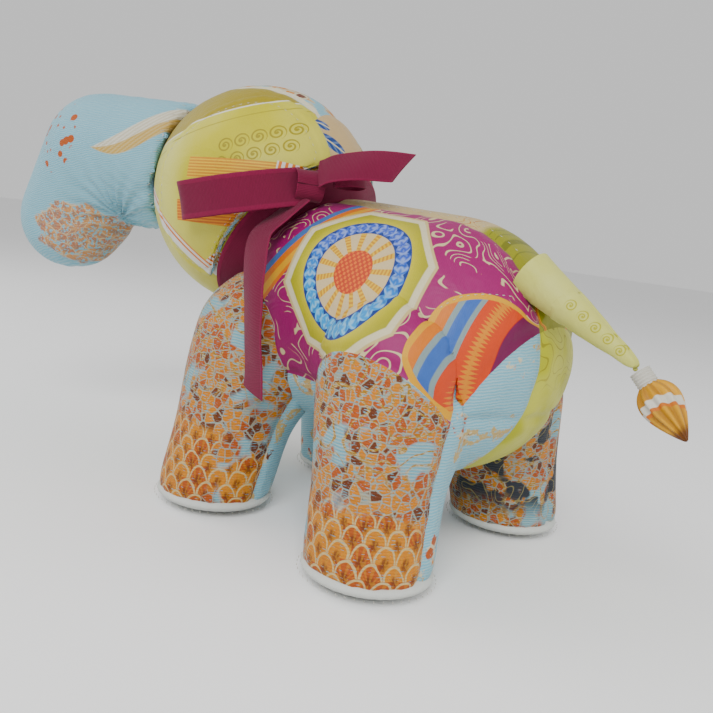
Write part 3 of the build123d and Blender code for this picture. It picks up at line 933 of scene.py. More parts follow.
def body_distance(points):
    return capsule_distance(points, REAR_BALL, FRONT_BALL, 47.0, 42.0)


def leg_distance(points, leg):
    foot, thigh = leg
    return capsule_distance(points, foot, thigh, 24.0, 25.5)


def fill_hips(form, own, others):
    """Rounds the crease where legs and barrel meet, so that cloth runs smoothly across it."""
    points = points_of(form) / MM
    normals = normals_of(form)
    for other in others:
        for _ in range(HIP_PASSES):
            gap = np.clip(HIP_FILLET - np.abs(own(points) - other(points)), 0, None) / HIP_FILLET
            blended = np.minimum(own(points), other(points)) - HIP_FILLET * gap * gap / 4
            near = (other(points) > -HIP_SKIN) & (gap > 0)
            start = own(points_of(form) / MM)
            move = np.clip(start - blended, 0, HIP_FILLET / 4) * near
            points = points_of(form) / MM + normals * move[:, None]
        set_points(form, points * MM)


def thicken(piece, thickness):
    """Gives cut cloth its thickness, inwards, and smooth shading."""
    wall = piece.modifiers.new("cloth", "SOLIDIFY")
    wall.thickness = thickness
    wall.offset = -1
    apply_all(piece)
    take(piece)
    bpy.ops.object.shade_smooth_by_angle(angle=math.radians(50))


def discard(*objs):
    for obj in objs:
        bpy.data.objects.remove(obj, do_unlink=True)


def smooth_path(points, count):
    """Evenly many points along a smooth curve through the given ones."""
    knots = [2 * points[0] - points[1], *points, 2 * points[-1] - points[-2]]
    made = []
    spans = len(points) - 1
    for number in range(count):
        where = number / (count - 1) * spans
        index = min(int(where), spans - 1)
        t = where - index
        a, b, c, d = knots[index:index + 4]
        made.append(0.5 * ((2 * b) + (c - a) * t + (2 * a - 5 * b + 4 * c - d) * t * t
                           + (3 * b - a - 3 * c + d) * t ** 3))
    return made


def ribbon_strip(name, path, facing, width, curl=0.0, slant=0.0):
    """Woven strip along a path in millimetres, as a gridded sheet with its own UV map."""
    rows = max(24, int(len(path) * 12))
    line = smooth_path([Vector(p) for p in path], rows)
    across = smooth_path([Vector(f).normalized() for f in facing], rows)
    columns = 14
    clear_selection()
    bpy.ops.mesh.primitive_grid_add(x_subdivisions=columns, y_subdivisions=rows - 1, size=2.0)
    strip = bpy.context.object
    strip.name = name
    uv = strip.data.uv_layers.new(name="strip")
    lengths = [0.0]
    for start, end in zip(line, line[1:]):
        lengths.append(lengths[-1] + (end - start).length)
    total = lengths[-1]
    spots = {}
    for vertex in strip.data.vertices:
        u, v = vertex.co.x, (vertex.co.y + 1) / 2
        row = min(int(round(v * (rows - 1))), rows - 1)
        tangent = (line[min(row + 1, rows - 1)] - line[max(row - 1, 0)]).normalized()
        side = across[row] - tangent * across[row].dot(tangent)
        side.normalize()
        normal = tangent.cross(side)
        offset = u * width / 2
        trim = slant * (u * 0.5 + 0.5) * max(0.0, (v - 0.8) / 0.2)
        wave = curl * (math.sin(v * 9.0 + u * 1.5) * 0.5 + u * u)
        point = line[row] + side * offset + normal * wave - tangent * trim
        spots[vertex.index] = (offset, lengths[row] - trim)
        vertex.co = point * MM
    for loop in strip.data.loops:
        uv.data[loop.index].uv = spots[loop.vertex_index]
    take(strip)
    wall = strip.modifiers.new("weave", "SOLIDIFY")
    wall.thickness = 0.0005
    wall.offset = 0
    divide = strip.modifiers.new("round", "SUBSURF")
    divide.levels = divide.render_levels = 1
    apply_all(strip)
    take(strip)
    bpy.ops.object.shade_smooth_by_angle(angle=math.radians(50))
    return strip, total * MM


def stitches(name, path, length, gap, radius, lean=0.0, normals=None):
    """Row of short thread loops along a path in millimetres, from one modelled stitch."""
    clear_selection()
    bpy.ops.mesh.primitive_ico_sphere_add(subdivisions=1, radius=1.0)
    bead = bpy.context.object
    bead_points = points_of(bead)
    faces = [tuple(face.vertices) for face in bead.data.polygons]
    discard(bead)
    line = [Vector(p) for p in path]
    vertices, polygons = [], []
    run = 0.0
    pitch = length + gap
    for start, end in zip(line, line[1:]):
        step = end - start
        if step.length < 1e-6:
            continue
        while run < step.length:
            centre = start + step * (run / step.length)
            tangent = step.normalized()
            outward = (normals(centre) if normals else Vector((0, 0, 1)))
            side = tangent.cross(outward).normalized()
            direction = (tangent * math.cos(lean) + side * math.sin(lean)).normalized()
            side = direction.cross(outward).normalized()
            first = len(vertices)
            for bx, by, bz in bead_points:
                point = centre + direction * (bx * length / 2) + side * (by * radius)
                point = point + outward * (bz * radius)
                vertices.append(point * MM)
            polygons.extend(tuple(first + i for i in face) for face in faces)
            run += pitch
        run -= step.length
    mesh = bpy.data.meshes.new(name)
    mesh.from_pydata([tuple(v) for v in vertices], [], polygons)
    row = bpy.data.objects.new(name, mesh)
    bpy.context.scene.collection.objects.link(row)
    take(row)
    bpy.ops.object.shade_smooth()
    return row


def split_off(form, name, sizes, planes, keep, thickness=None):
    """One cover of a stuffed form: the mesh is split along planes, then only its faces stay."""
    piece = form.copy()
    piece.data = form.data.copy()
    piece.name = name
    bpy.context.scene.collection.objects.link(piece)
    take(piece)
    bpy.ops.object.mode_set(mode="EDIT")
    for origin, normal in planes:
        bpy.ops.mesh.select_all(action="SELECT")
        bpy.ops.mesh.bisect(plane_co=tuple(Vector(origin) * MM), plane_no=tuple(normal))
    bpy.ops.mesh.select_all(action="DESELECT")
    bpy.ops.mesh.select_mode(type="FACE")
    bpy.ops.object.mode_set(mode="OBJECT")
    for face in piece.data.polygons:
        face.select = not keep(face.center / MM)
    bpy.ops.object.mode_set(mode="EDIT")
    bpy.ops.mesh.delete(type="FACE")
    bpy.ops.object.mode_set(mode="OBJECT")
    thicken(piece, thickness or sizes.cloth)
    return piece


def on_surface(form, path):
    """The path's points moved to the nearest place on a form, in millimetres, with normals."""
    places, normals = [], []
    for point in path:
        _, place, normal, _ = form.closest_point_on_mesh(Vector(point) * MM)
        places.append(place / MM)
        normals.append(normal)
    return places, normals


def seam_stitches(form, name, path, body, fabric, length=1.6, gap=2.2, radius=0.16, lean=0.0):
    """A row of stitches sewn along a path on a form."""
    dense = smooth_path([Vector(p) for p in path], 60)
    places, normals = on_surface(form, dense)
    lifted = [place + normal * radius * 0.4 for place, normal in zip(places, normals)]

    def outward(centre):
        nearest = min(range(len(places)), key=lambda i: (places[i] - centre).length_squared)
        return normals[nearest]

    row = stitches(name, lifted, length, gap, radius, lean, outward)
    return dress(row, body, fabric)


def head_local(points):
    """World points in millimetres, as rows of the head's own coordinates."""
    turn = np.array(Matrix.Rotation(-HEAD_TURN, 3, "Z"))
    return (points - np.array(HEAD)) @ turn.T


ROOT = "elephant"
THIGH_SEAM_Z = 22.4
THIGH_SLOPE = 0.9
HEM_DROP = 1.4
ANKLE_SLIM = 0.0021
BELLY_Z = 58.0
RUMP_SEAM = from_barrel(-63.5, 0.0, 76.5)
RUMP_FACING = Vector((0.912, 0.0, 0.409))


# ---------------------------------------------------------------------------------------------
# Operators


class ELEPHANT_OT_fabrics(bpy.types.Operator):
    """Make every fabric that the toy is sewn from"""

    bl_idname = "elephant.fabrics"
    bl_label = "Fabrics"

    def execute(self, context):
        colours = context.scene.elephant_colours
        FABRICS.update({
            "blue_brocade": blue_brocade(colours),
            "trunk_brocade": trunk_brocade(colours),
            "front_scale_brocade": scale_brocade(colours, "front_scale_brocade",
                                                 from_barrel(44, 41, 0), 8.0),
            "far_scale_brocade": scale_brocade(colours, "far_scale_brocade",
                                               from_barrel(44, -41, 0), 4.0),
            "rear_scale_brocade": scale_brocade(colours, "rear_scale_brocade",
                                                from_barrel(-38, 46, 0)),
            "dark_scale_brocade": scale_brocade(colours, "dark_scale_brocade",
                                                from_barrel(-38, -46, 0), -30.0, 1.0),
            "flank_silk_left": flank_print(colours),
            "flank_silk_right": right_flank_print(colours),
            "rump_silk": rump_silk(colours),
            "olive_silk": olive_silk(colours),
            "beige_silk": beige_silk(colours),
            "crown_brocade": crown_silk(colours),
            "chartreuse_silk": chartreuse_silk(colours),
            "gold_silk": gold_pleats(colours),
            "ribbon": woven_ribbon(colours),
            "sole_cloth": sole_cloth(colours),
            "pale_thread": thread_cloth("pale_thread", (0.80, 0.78, 0.70)),
            "blue_thread": thread_cloth("blue_thread", (0.38, 0.52, 0.60)),
            "fibre_fill": fibre(colours),
        })
        for node, obj in ((name, bpy.data.objects[name]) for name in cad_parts):
            if "stuffing" in node:
                obj.data.materials.clear()
                obj.data.materials.append(FABRICS["fibre_fill"])
        return {"FINISHED"}


LEGS = {
    "front_left": (from_barrel(44, 41, 7), from_barrel(40, 29, 66)),
    "front_right": (from_barrel(44, -41, 7), from_barrel(40, -29, 66)),
    "rear_left": (from_barrel(-38, 46, 7), from_barrel(-31, 36, 68)),
    "rear_right": (from_barrel(-38, -46, 7), from_barrel(-31, -36, 68)),
}
LEG_FABRICS = {
    "front_left": "front_scale_brocade",
    "front_right": "far_scale_brocade",
    "rear_left": "rear_scale_brocade",
    "rear_right": "dark_scale_brocade",
}


class ELEPHANT_OT_body(bpy.types.Operator):
    """Stuff the barrel and cut its flank covers, belly gusset and rump cover"""

    bl_idname = "elephant.body"
    bl_label = "Body covers"

    def execute(self, context):
        sizes = context.scene.elephant_sizes
        form = stuffed_form(sizes, "body_stuffing")
        fill_hips(form, body_distance, [lambda p, leg=leg: leg_distance(p, leg) for leg in LEGS.values()])
        points = points_of(form)
        behind = plane_distance(points, RUMP_SEAM * MM, RUMP_FACING) < 0
        spine = np.where((points[:, 2] > BELLY_Z * MM) | behind, np.abs(points[:, 1] - SPINE_Y * MM), 1.0)
        belly = np.abs(points[:, 2] - BELLY_Z * MM)
        rump = np.abs(plane_distance(points, RUMP_SEAM * MM, RUMP_FACING))
        distances = np.minimum(np.minimum(spine, belly), rump)
        pull_seam(form, sizes, distances, points[:, 0] * 0.9 + points[:, 2] * 0.7)
        planes = [((0, SPINE_Y, 0), (0, 1, 0)), ((0, 0, BELLY_Z), (0, 0, 1)), (RUMP_SEAM, RUMP_FACING)]

        def ahead(p):
            return (p - RUMP_SEAM).dot(RUMP_FACING) > 0

        covers = {
            "body_cover_left": ("flank_silk_left", lambda p: ahead(p) and p.z > BELLY_Z and p.y > SPINE_Y),
            "body_cover_right": ("flank_silk_right", lambda p: ahead(p) and p.z > BELLY_Z and p.y < SPINE_Y),
            "belly_gusset": ("blue_brocade", lambda p: ahead(p) and p.z < BELLY_Z),
            "rump_cover": ("blue_brocade", lambda p: not ahead(p) and p.y > SPINE_Y),
            "rump_right": ("rump_silk", lambda p: not ahead(p) and p.y < SPINE_Y),
        }
        for node, (fabric, keep) in covers.items():
            cover = split_off(form, node + "_sewn", sizes, planes, keep)
            dress(cover, ROOT, fabric, *((node,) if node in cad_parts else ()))
        top = [from_barrel(x, SPINE_Y, 130) for x in (-64, -45, -20, 0, 20)]
        seam_stitches(form, "spine_stitches", top, ROOT, "pale_thread", 1.2, 2.6, 0.13)
        mend = [from_barrel(*p) for p in ((-48.0, 40.0, 93.1), (-52.3, 36.0, 97.5), (-57.3, 29.0, 99.0),
                                          (-62.3, 21.0, 99.0))]
        seam_stitches(form, "patch_mend_stitches", mend, ROOT, "pale_thread", 1.3, 1.1, 0.14)
        discard(form)
        return {"FINISHED"}


class ELEPHANT_OT_head(bpy.types.Operator):
    """Stuff the head and cut its side covers, crown gusset and nape cover"""

    bl_idname = "elephant.head"
    bl_label = "Head covers"

    def execute(self, context):
        sizes = context.scene.elephant_sizes
        form = stuffed_form(sizes, "head_stuffing")
        local = head_local(points_of(form) / MM) * MM
        gusset = np.where(local[:, 2] > 0.012, np.abs(np.abs(local[:, 1]) - 0.015), 1.0)
        gusset = np.where(local[:, 0] > -0.027, gusset, 1.0)
        distances = np.minimum(gusset, np.abs(local[:, 0] + 0.027))
        pull_seam(form, sizes, distances, local[:, 0] + local[:, 2] * 0.6)
        forward = Matrix.Rotation(HEAD_TURN, 3, "Z")
        sideways = forward @ Vector((0, 1, 0))
        ahead = forward @ Vector((1, 0, 0))
        planes = [
            (HEAD, sideways), (HEAD + sideways * 15, sideways), (HEAD - sideways * 15, sideways),
            (HEAD + Vector((0, 0, 12)), (0, 0, 1)), (HEAD - ahead * 27, ahead),
        ]

        def place(p):
            return forward.transposed() @ (p - HEAD)

        def crown(p):
            return abs(p.y) < 15 and p.z > 12

        covers = {
            "head_cover_left": ("olive_silk", lambda p: p.x > -27 and not crown(p) and p.y > 0),
            "head_cover_right": ("olive_silk", lambda p: p.x > -27 and not crown(p) and p.y < 0),
            "forehead_gusset": ("crown_brocade", lambda p: p.x > -27 and crown(p)),
            "nape_cover": ("beige_silk", lambda p: p.x < -27),
        }
        for node, (fabric, keep) in covers.items():
            cover = split_off(form, node + "_sewn", sizes, planes, lambda p: keep(place(p)))
            dress(cover, ROOT, fabric, node)
        discard(form)
        return {"FINISHED"}


class ELEPHANT_OT_trunk(bpy.types.Operator):
    """Stuff the trunk and cut its two covers"""

    bl_idname = "elephant.trunk"
    bl_label = "Trunk covers"

    def execute(self, context):
        sizes = context.scene.elephant_sizes
        form = stuffed_form(sizes, "trunk_stuffing")
        soften = form.modifiers.new("bend", "SMOOTH")
        soften.iterations = 25
        apply_all(form)
        points = points_of(form)
        local = head_local(points / MM) * MM
        base = np.abs(np.linalg.norm(local, axis=1) - HEAD_RADIUS * MM)
        distances = np.minimum(np.abs(local[:, 1]), base * 0.8)
        pull_seam(form, sizes, distances, local[:, 0] + local[:, 2])
        notch = np.sqrt((local[:, 0] - 0.062) ** 2 + (local[:, 2] + 0.016) ** 2)
        fan = np.sin(np.arctan2(local[:, 2] + 0.016, local[:, 0] - 0.062) * 16.0 + local[:, 1] * 90)
        folds = np.exp(-((notch / 0.019) ** 2)) * fan * 0.0009
        set_points(form, points_of(form) + normals_of(form) * folds[:, None])
        forward = Matrix.Rotation(HEAD_TURN, 3, "Z")
        sideways = forward @ Vector((0, 1, 0))
        for node, sign in (("trunk_cover_left", 1), ("trunk_cover_right", -1)):
            cover = split_off(form, node + "_sewn", sizes, [(HEAD, sideways)],
                              lambda p: (p - HEAD).dot(sideways) * sign > 0)
            dress(cover, ROOT, "trunk_brocade", node)
        over = [head_point(*p) for p in ((40, 0, 41), (60, 0, 41), (82, 0, 39), (98, 0, 32),
                                         (110, 0, 14), (119, 0, -4), (122, 0, -18))]
        seam_stitches(form, "trunk_seam_stitches", over, ROOT, "pale_thread", 1.1, 2.4, 0.12)
        base_ring = []
        for number in range(25):
            angle = 2 * math.pi * number / 24
            base_ring.append(head_point(37.5, 30.5 * math.cos(angle), 8 + 30.5 * math.sin(angle)))
        seam_stitches(form, "trunk_base_stitches", base_ring, ROOT, "pale_thread", 2.2, 2.6, 0.16, 1.2)
        discard(form)
        return {"FINISHED"}


class ELEPHANT_OT_legs(bpy.types.Operator):
    """Stuff the legs, cut their outer and inner covers, and sew on bulging soles"""

    bl_idname = "elephant.legs"
    bl_label = "Legs and soles"

    def execute(self, context):
        sizes = context.scene.elephant_sizes
        for name, (foot, thigh) in LEGS.items():
            self.sew_leg(sizes, name, foot, thigh, LEG_FABRICS[name])
        return {"FINISHED"}

    def sew_leg(self, sizes, name, foot, thigh, fabric):
        form = stuffed_form(sizes, f"{name}_leg_stuffing")
        fill_hips(form, lambda p: leg_distance(p, (foot, thigh)), [body_distance])
        axis = (thigh - foot).normalized()
        side = Vector((0, 1, 0))
        seam_normal = (side - axis * side.dot(axis)).normalized()
        points = points_of(form)
        seam = np.abs(plane_distance(points, thigh * MM, seam_normal))
        rear = name.startswith("rear")
        outer_sign = 1 if foot.y > 0 else -1
        thigh_normal = Vector((0, -THIGH_SLOPE * outer_sign, 1)).normalized()
        thigh_spot = Vector((0, 0, THIGH_SEAM_Z))
        low = points[:, 2] < 0.009
        points[low, 2] = 0.009 - (0.009 - points[low, 2]) * HEM_DROP
        hem = np.abs(points[:, 2] - 0.0032)
        if rear:
            outside = points[:, 1] * outer_sign > thigh.y * outer_sign * MM
            crest = np.abs(plane_distance(points, thigh_spot * MM, thigh_normal))
            hem = np.minimum(hem, np.where(outside, crest, 1.0))
        flare = np.clip((0.026 - points[:, 2]) / 0.026, 0, 1) ** 2
        outward = points - np.array(foot) * MM
        outward[:, 2] = 0
        length = np.maximum(np.linalg.norm(outward, axis=1, keepdims=True), 1e-6)
        slim = np.clip((0.062 - points[:, 2]) / 0.034, 0, 1)
        slim = slim * slim * (3 - 2 * slim) * ANKLE_SLIM - flare * 0.0006
        set_points(form, points - outward / length * slim[:, None])
        pull_seam(form, sizes, np.minimum(seam, hem), points[:, 2] * 0.9 + points[:, 0] * 0.3)
        inner_fabric = "blue_brocade"

        def below_crest(p):
            return not rear or (p - thigh_spot).dot(thigh_normal) < 0

        planes = [(thigh, seam_normal)] + ([(thigh_spot, thigh_normal)] if rear else [])
        for part, sign, cloth in (("outer", outer_sign, fabric), ("inner", -outer_sign, inner_fabric)):
            if name == "rear_right":
                cloth = "dark_scale_brocade"
            cover = split_off(form, f"{name}_leg_{part}_sewn", sizes, planes,
                              lambda p: (p - thigh).dot(seam_normal) * sign > 0 and p.z > 2.6
                              and (part == "inner" or below_crest(p)))
            dress(cover, ROOT, cloth, f"{name}_leg_{part}")
        if rear:
            crest = split_off(form, f"{name}_thigh_flank", sizes, planes,
                              lambda p: (p - thigh).dot(seam_normal) * outer_sign > 0
                              and not below_crest(p))
            side = "left" if outer_sign > 0 else "right"
            dress(crest, ROOT, f"flank_silk_{side}")
        discard(form)
        self.sew_sole(name, foot)

    def sew_sole(self, name, foot):
        clear_selection()
        bpy.ops.mesh.primitive_uv_sphere_add(segments=72, ring_count=36, radius=1.0)
        sole = bpy.context.object
        sole.name = f"{name}_sole_sewn"
        points = points_of(sole)
        angle = np.arctan2(points[:, 1], points[:, 0])
        pinch = 1 + 0.006 * np.sin(angle * 34) * (np.abs(points[:, 2]) < 0.5)
        shaped = points * np.array((22.1, 22.1, 5.0)) * pinch[:, None] + np.array((foot.x, foot.y, 5.0))
        shaped[:, 2] = np.maximum(shaped[:, 2], 0.0)
        set_points(sole, shaped * MM)
        take(sole)
        bpy.ops.object.shade_smooth_by_angle(angle=math.radians(60))
        dress(sole, ROOT, "sole_cloth", f"{name}_sole")
        ring = []
        for number in range(41):
            turn = 2 * math.pi * number / 40
            ring.append((foot.x + 23.1 * math.cos(turn), foot.y + 23.1 * math.sin(turn), 3.4))
        row = stitches(f"{name}_sole_stitches", ring, 1.1, 1.9, 0.13, 1.1,
                       lambda c: Vector((c.x - foot.x, c.y - foot.y, 0)).normalized())
        dress(row, ROOT, "pale_thread")


EAR_OUTLINE = [(26.0, -14.0), (26.0, 10.0), (17.0, 22.0), (4.0, 33.0), (-12.0, 39.0),
               (-27.0, 34.0), (-38.0, 20.0), (-40.0, 4.0), (-32.0, -8.0),
               (-18.0, -20.0), (-5.0, -31.0), (7.0, -34.0), (19.0, -26.0)]


def ear_rim():
    """Corner points of the ear's outline as (ahead, above), hinge edge first."""
    return [Vector((ahead, above, 0)) for ahead, above in EAR_OUTLINE]


def ear_reach(rim, centre, angle):
    """Distance from the centre to the outline along an angle."""
    direction = Vector((math.cos(angle), math.sin(angle), 0))
    best = 0.0
    for start, end in zip(rim, rim[1:] + rim[:1]):
        edge = end - start
        cross = direction.x * edge.y - direction.y * edge.x
        if abs(cross) < 1e-9:
            continue
        away = start - centre
        reach = (away.x * edge.y - away.y * edge.x) / cross
        share = (away.x * direction.y - away.y * direction.x) / cross
        if -1e-6 <= share <= 1 + 1e-6 and reach > best:
            best = reach
    return best


class ELEPHANT_OT_ears(bpy.types.Operator):
    """Make both flap ears: outer silk, lining and the wadding between them"""

    bl_idname = "elephant.ears"
    bl_label = "Flap ears"

    def execute(self, context):
        sizes = context.scene.elephant_sizes
        rim = smooth_path(ear_rim() + [ear_rim()[0]], 160)[:-1]
        for side, sign in (("left", 1), ("right", -1)):
            body = f"ear_{side}"
            whole = self.pillow(f"ear_{side}_form", rim, sign, 1.0, 1.75)
            limit = HEAD_RADIUS + 2.15
            for layer, fabric, keep in (
                ("outer", "olive_silk", lambda p: (p - HEAD).length > limit),
                ("lining", "blue_brocade", lambda p: (p - HEAD).length <= limit),
            ):
                cover = split_off(whole, f"ear_{side}_{layer}_sewn", sizes, [], keep, 0.0004)
                dress(cover, body, fabric, f"ear_{side}_{layer}")
            fill = self.pillow(f"ear_{side}_wadding_sewn", rim, sign, 0.9, 0.7)
            dress(fill, body, "fibre_fill", f"ear_{side}_wadding")
            self.rim_stitches(side, rim, sign, body, whole)
            discard(whole)
        return {"FINISHED"}

    def point(self, ahead, above, radius, sign):
        """Place on the ear's ball, kept clear of the neck ribbon."""
        for share in (1.0, 0.96, 0.92, 0.88, 0.84, 0.8, 0.76, 0.72, 0.68, 0.64, 0.6, 0.56, 0.52):
            x, z = ahead * share, above * share
            across = math.sqrt(max(radius * radius - x * x - z * z, 4.0))
            place = head_point(x, across * sign, z)
            if (place - HEAD).dot(NECK_DIRECTION) < 28.2:
                return place
        return place

    def pillow(self, name, rim, sign, spread, half_thickness):
        clear_selection()
        bpy.ops.mesh.primitive_uv_sphere_add(segments=144, ring_count=72, radius=1.0)
        pillow = bpy.context.object
        pillow.name = name
        centre = Vector((-5.0, 0.0, 0.0))
        middle_radius = HEAD_RADIUS + 2.15
        for vertex in pillow.data.vertices:
            x, y, z = vertex.co
            reach = math.hypot(x, y)
            angle = math.atan2(y, x)
            edge = ear_reach(rim, centre, angle) * spread
            ahead = centre.x + math.cos(angle) * edge * reach
            above = centre.y + math.sin(angle) * edge * reach
            thin = abs(z) ** 0.75 * (1 if z > 0 else -1)
            seam = 0.45 * math.exp(-((1 - reach - 0.07) / 0.018) ** 2) * (1 if z > 0 else -1)
            gather = 0.12 * math.sin(angle * 46.0) * math.exp(-((1 - reach) / 0.12) ** 2)
            lift = thin * half_thickness - (seam - gather) * min(1.0, half_thickness)
            vertex.co = self.point(ahead, above, middle_radius + lift, sign) * MM
        take(pillow)
        bpy.ops.object.mode_set(mode="EDIT")
        bpy.ops.mesh.select_all(action="SELECT")
        bpy.ops.mesh.normals_make_consistent(inside=False)
        bpy.ops.object.mode_set(mode="OBJECT")
        bpy.ops.object.shade_smooth_by_angle(angle=math.radians(60))
        return pillow

    def rim_stitches(self, side, rim, sign, body, form):
        centre = Vector((-5.0, 0.0, 0.0))
        path = []
        for number in range(0, len(rim), 3):
            spot = centre + (rim[number] - centre) * 0.93
            path.append(self.point(spot.x, spot.y, HEAD_RADIUS + 4.0, sign))
        path.append(path[0])
        seam_stitches(form, f"ear_{side}_stitches", path, body, "pale_thread", 1.3, 1.7, 0.13)


TAIL_ROOT = from_barrel(-68.0, SPINE_Y, 102.5)
TAIL_END = from_barrel(-100.5, SPINE_Y, 84.0)
TAIL_ALONG = (TAIL_END - TAIL_ROOT).normalized()
TUFT_AXIS = Vector((-math.cos(math.radians(45)), 0, -math.sin(math.radians(45))))


def lathe(name, origin, axis, length, profile, ribs=0, rib_depth=0.0, segments=96, rings=64):
    """Closed round form along an axis; profile gives its radius from 0 at one end to 1 at the other."""
    clear_selection()
    bpy.ops.mesh.primitive_uv_sphere_add(segments=segments, ring_count=rings, radius=1.0)
    form = bpy.context.object
    form.name = name
    turn = axis.to_track_quat("Z", "Y")
    for vertex in form.data.vertices:
        x, y, z = vertex.co
        share = math.acos(max(-1.0, min(1.0, -z))) / math.pi
        angle = math.atan2(y, x)
        radius = profile(share) if math.hypot(x, y) > 1e-5 else 0.0
        radius *= 1 + rib_depth * math.cos(angle * ribs + share * 1.5)
        spot = Vector((radius * math.cos(angle), radius * math.sin(angle), share * length))
        vertex.co = (origin + turn @ spot) * MM
    take(form)
    bpy.ops.object.mode_set(mode="EDIT")
    bpy.ops.mesh.select_all(action="SELECT")
    bpy.ops.mesh.normals_make_consistent(inside=False)
    bpy.ops.object.mode_set(mode="OBJECT")
    bpy.ops.object.shade_smooth_by_angle(angle=math.radians(50))
    return form


class ELEPHANT_OT_tail(bpy.types.Operator):
    """Stuff the tail, cut its covers, and gather the tuft on its binding"""

    bl_idname = "elephant.tail"
    bl_label = "Tail and tuft"

    def execute(self, context):
        sizes = context.scene.elephant_sizes
        form = stuffed_form(sizes, "tail_stuffing", 0.0004, 0.0013, "tail", 0.25)
        points = points_of(form)
        pull_seam(form, sizes, np.abs(points[:, 1] - SPINE_Y * MM), points[:, 0], 0.3, 0.6)
        for node, sign in (("tail_cover_left", 1), ("tail_cover_right", -1)):
            cover = split_off(form, node + "_sewn", sizes, [((0, SPINE_Y, 0), (0, 1, 0))],
                              lambda p: (p.y - SPINE_Y) * sign > 0, 0.0006)
            dress(cover, "tail", "chartreuse_silk", node)
        discard(form)
        sleeve = lathe("tail_root_sleeve", TAIL_ROOT - TAIL_ALONG * 8.0, TAIL_ALONG, 18.0,
                       lambda t: 6.6 + 1.6 * (1 - t) ** 2 - 0.8 * t ** 4 if 0.02 < t < 0.99 else 4.0)
        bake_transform(dress(sleeve, None, "chartreuse_silk", "tail_knuckle"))
        seat = TAIL_END + TUFT_AXIS * 3.8

        def bud(t):
            return 0.2 + 6.6 * (math.sin(math.pi * min(1.0, t ** 0.72)) ** 0.8) * (1 - t * 0.3)

        tuft = lathe("tail_tuft_gathered", seat + TUFT_AXIS * 2.4, TUFT_AXIS, 20.6, bud, 11, 0.085)
        dress(tuft, "tuft", "gold_silk", "tail_tuft")
        binding = lathe("tuft_binding_wound", seat - TUFT_AXIS * 1.5, TUFT_AXIS, 5.4,
                        lambda t: 3.2 + 0.12 * math.sin(t * 34.0) if 0.04 < t < 0.96 else 1.6)
        dress(binding, "tuft", "pale_thread", "tuft_binding")
        return {"FINISHED"}


BAND_WIDTH = 14.0
KNOT_WIDTH = 11.0
LONG_LOOP_WIDTH = 14.2
SHORT_LOOP_WIDTH = 11.6
END_WIDTH = 12.0
STRIP_AREA_SHARE = 0.985
FRONT_END_AREA_SHARE = 0.96
BACK_END_AREA_SHARE = 0.95


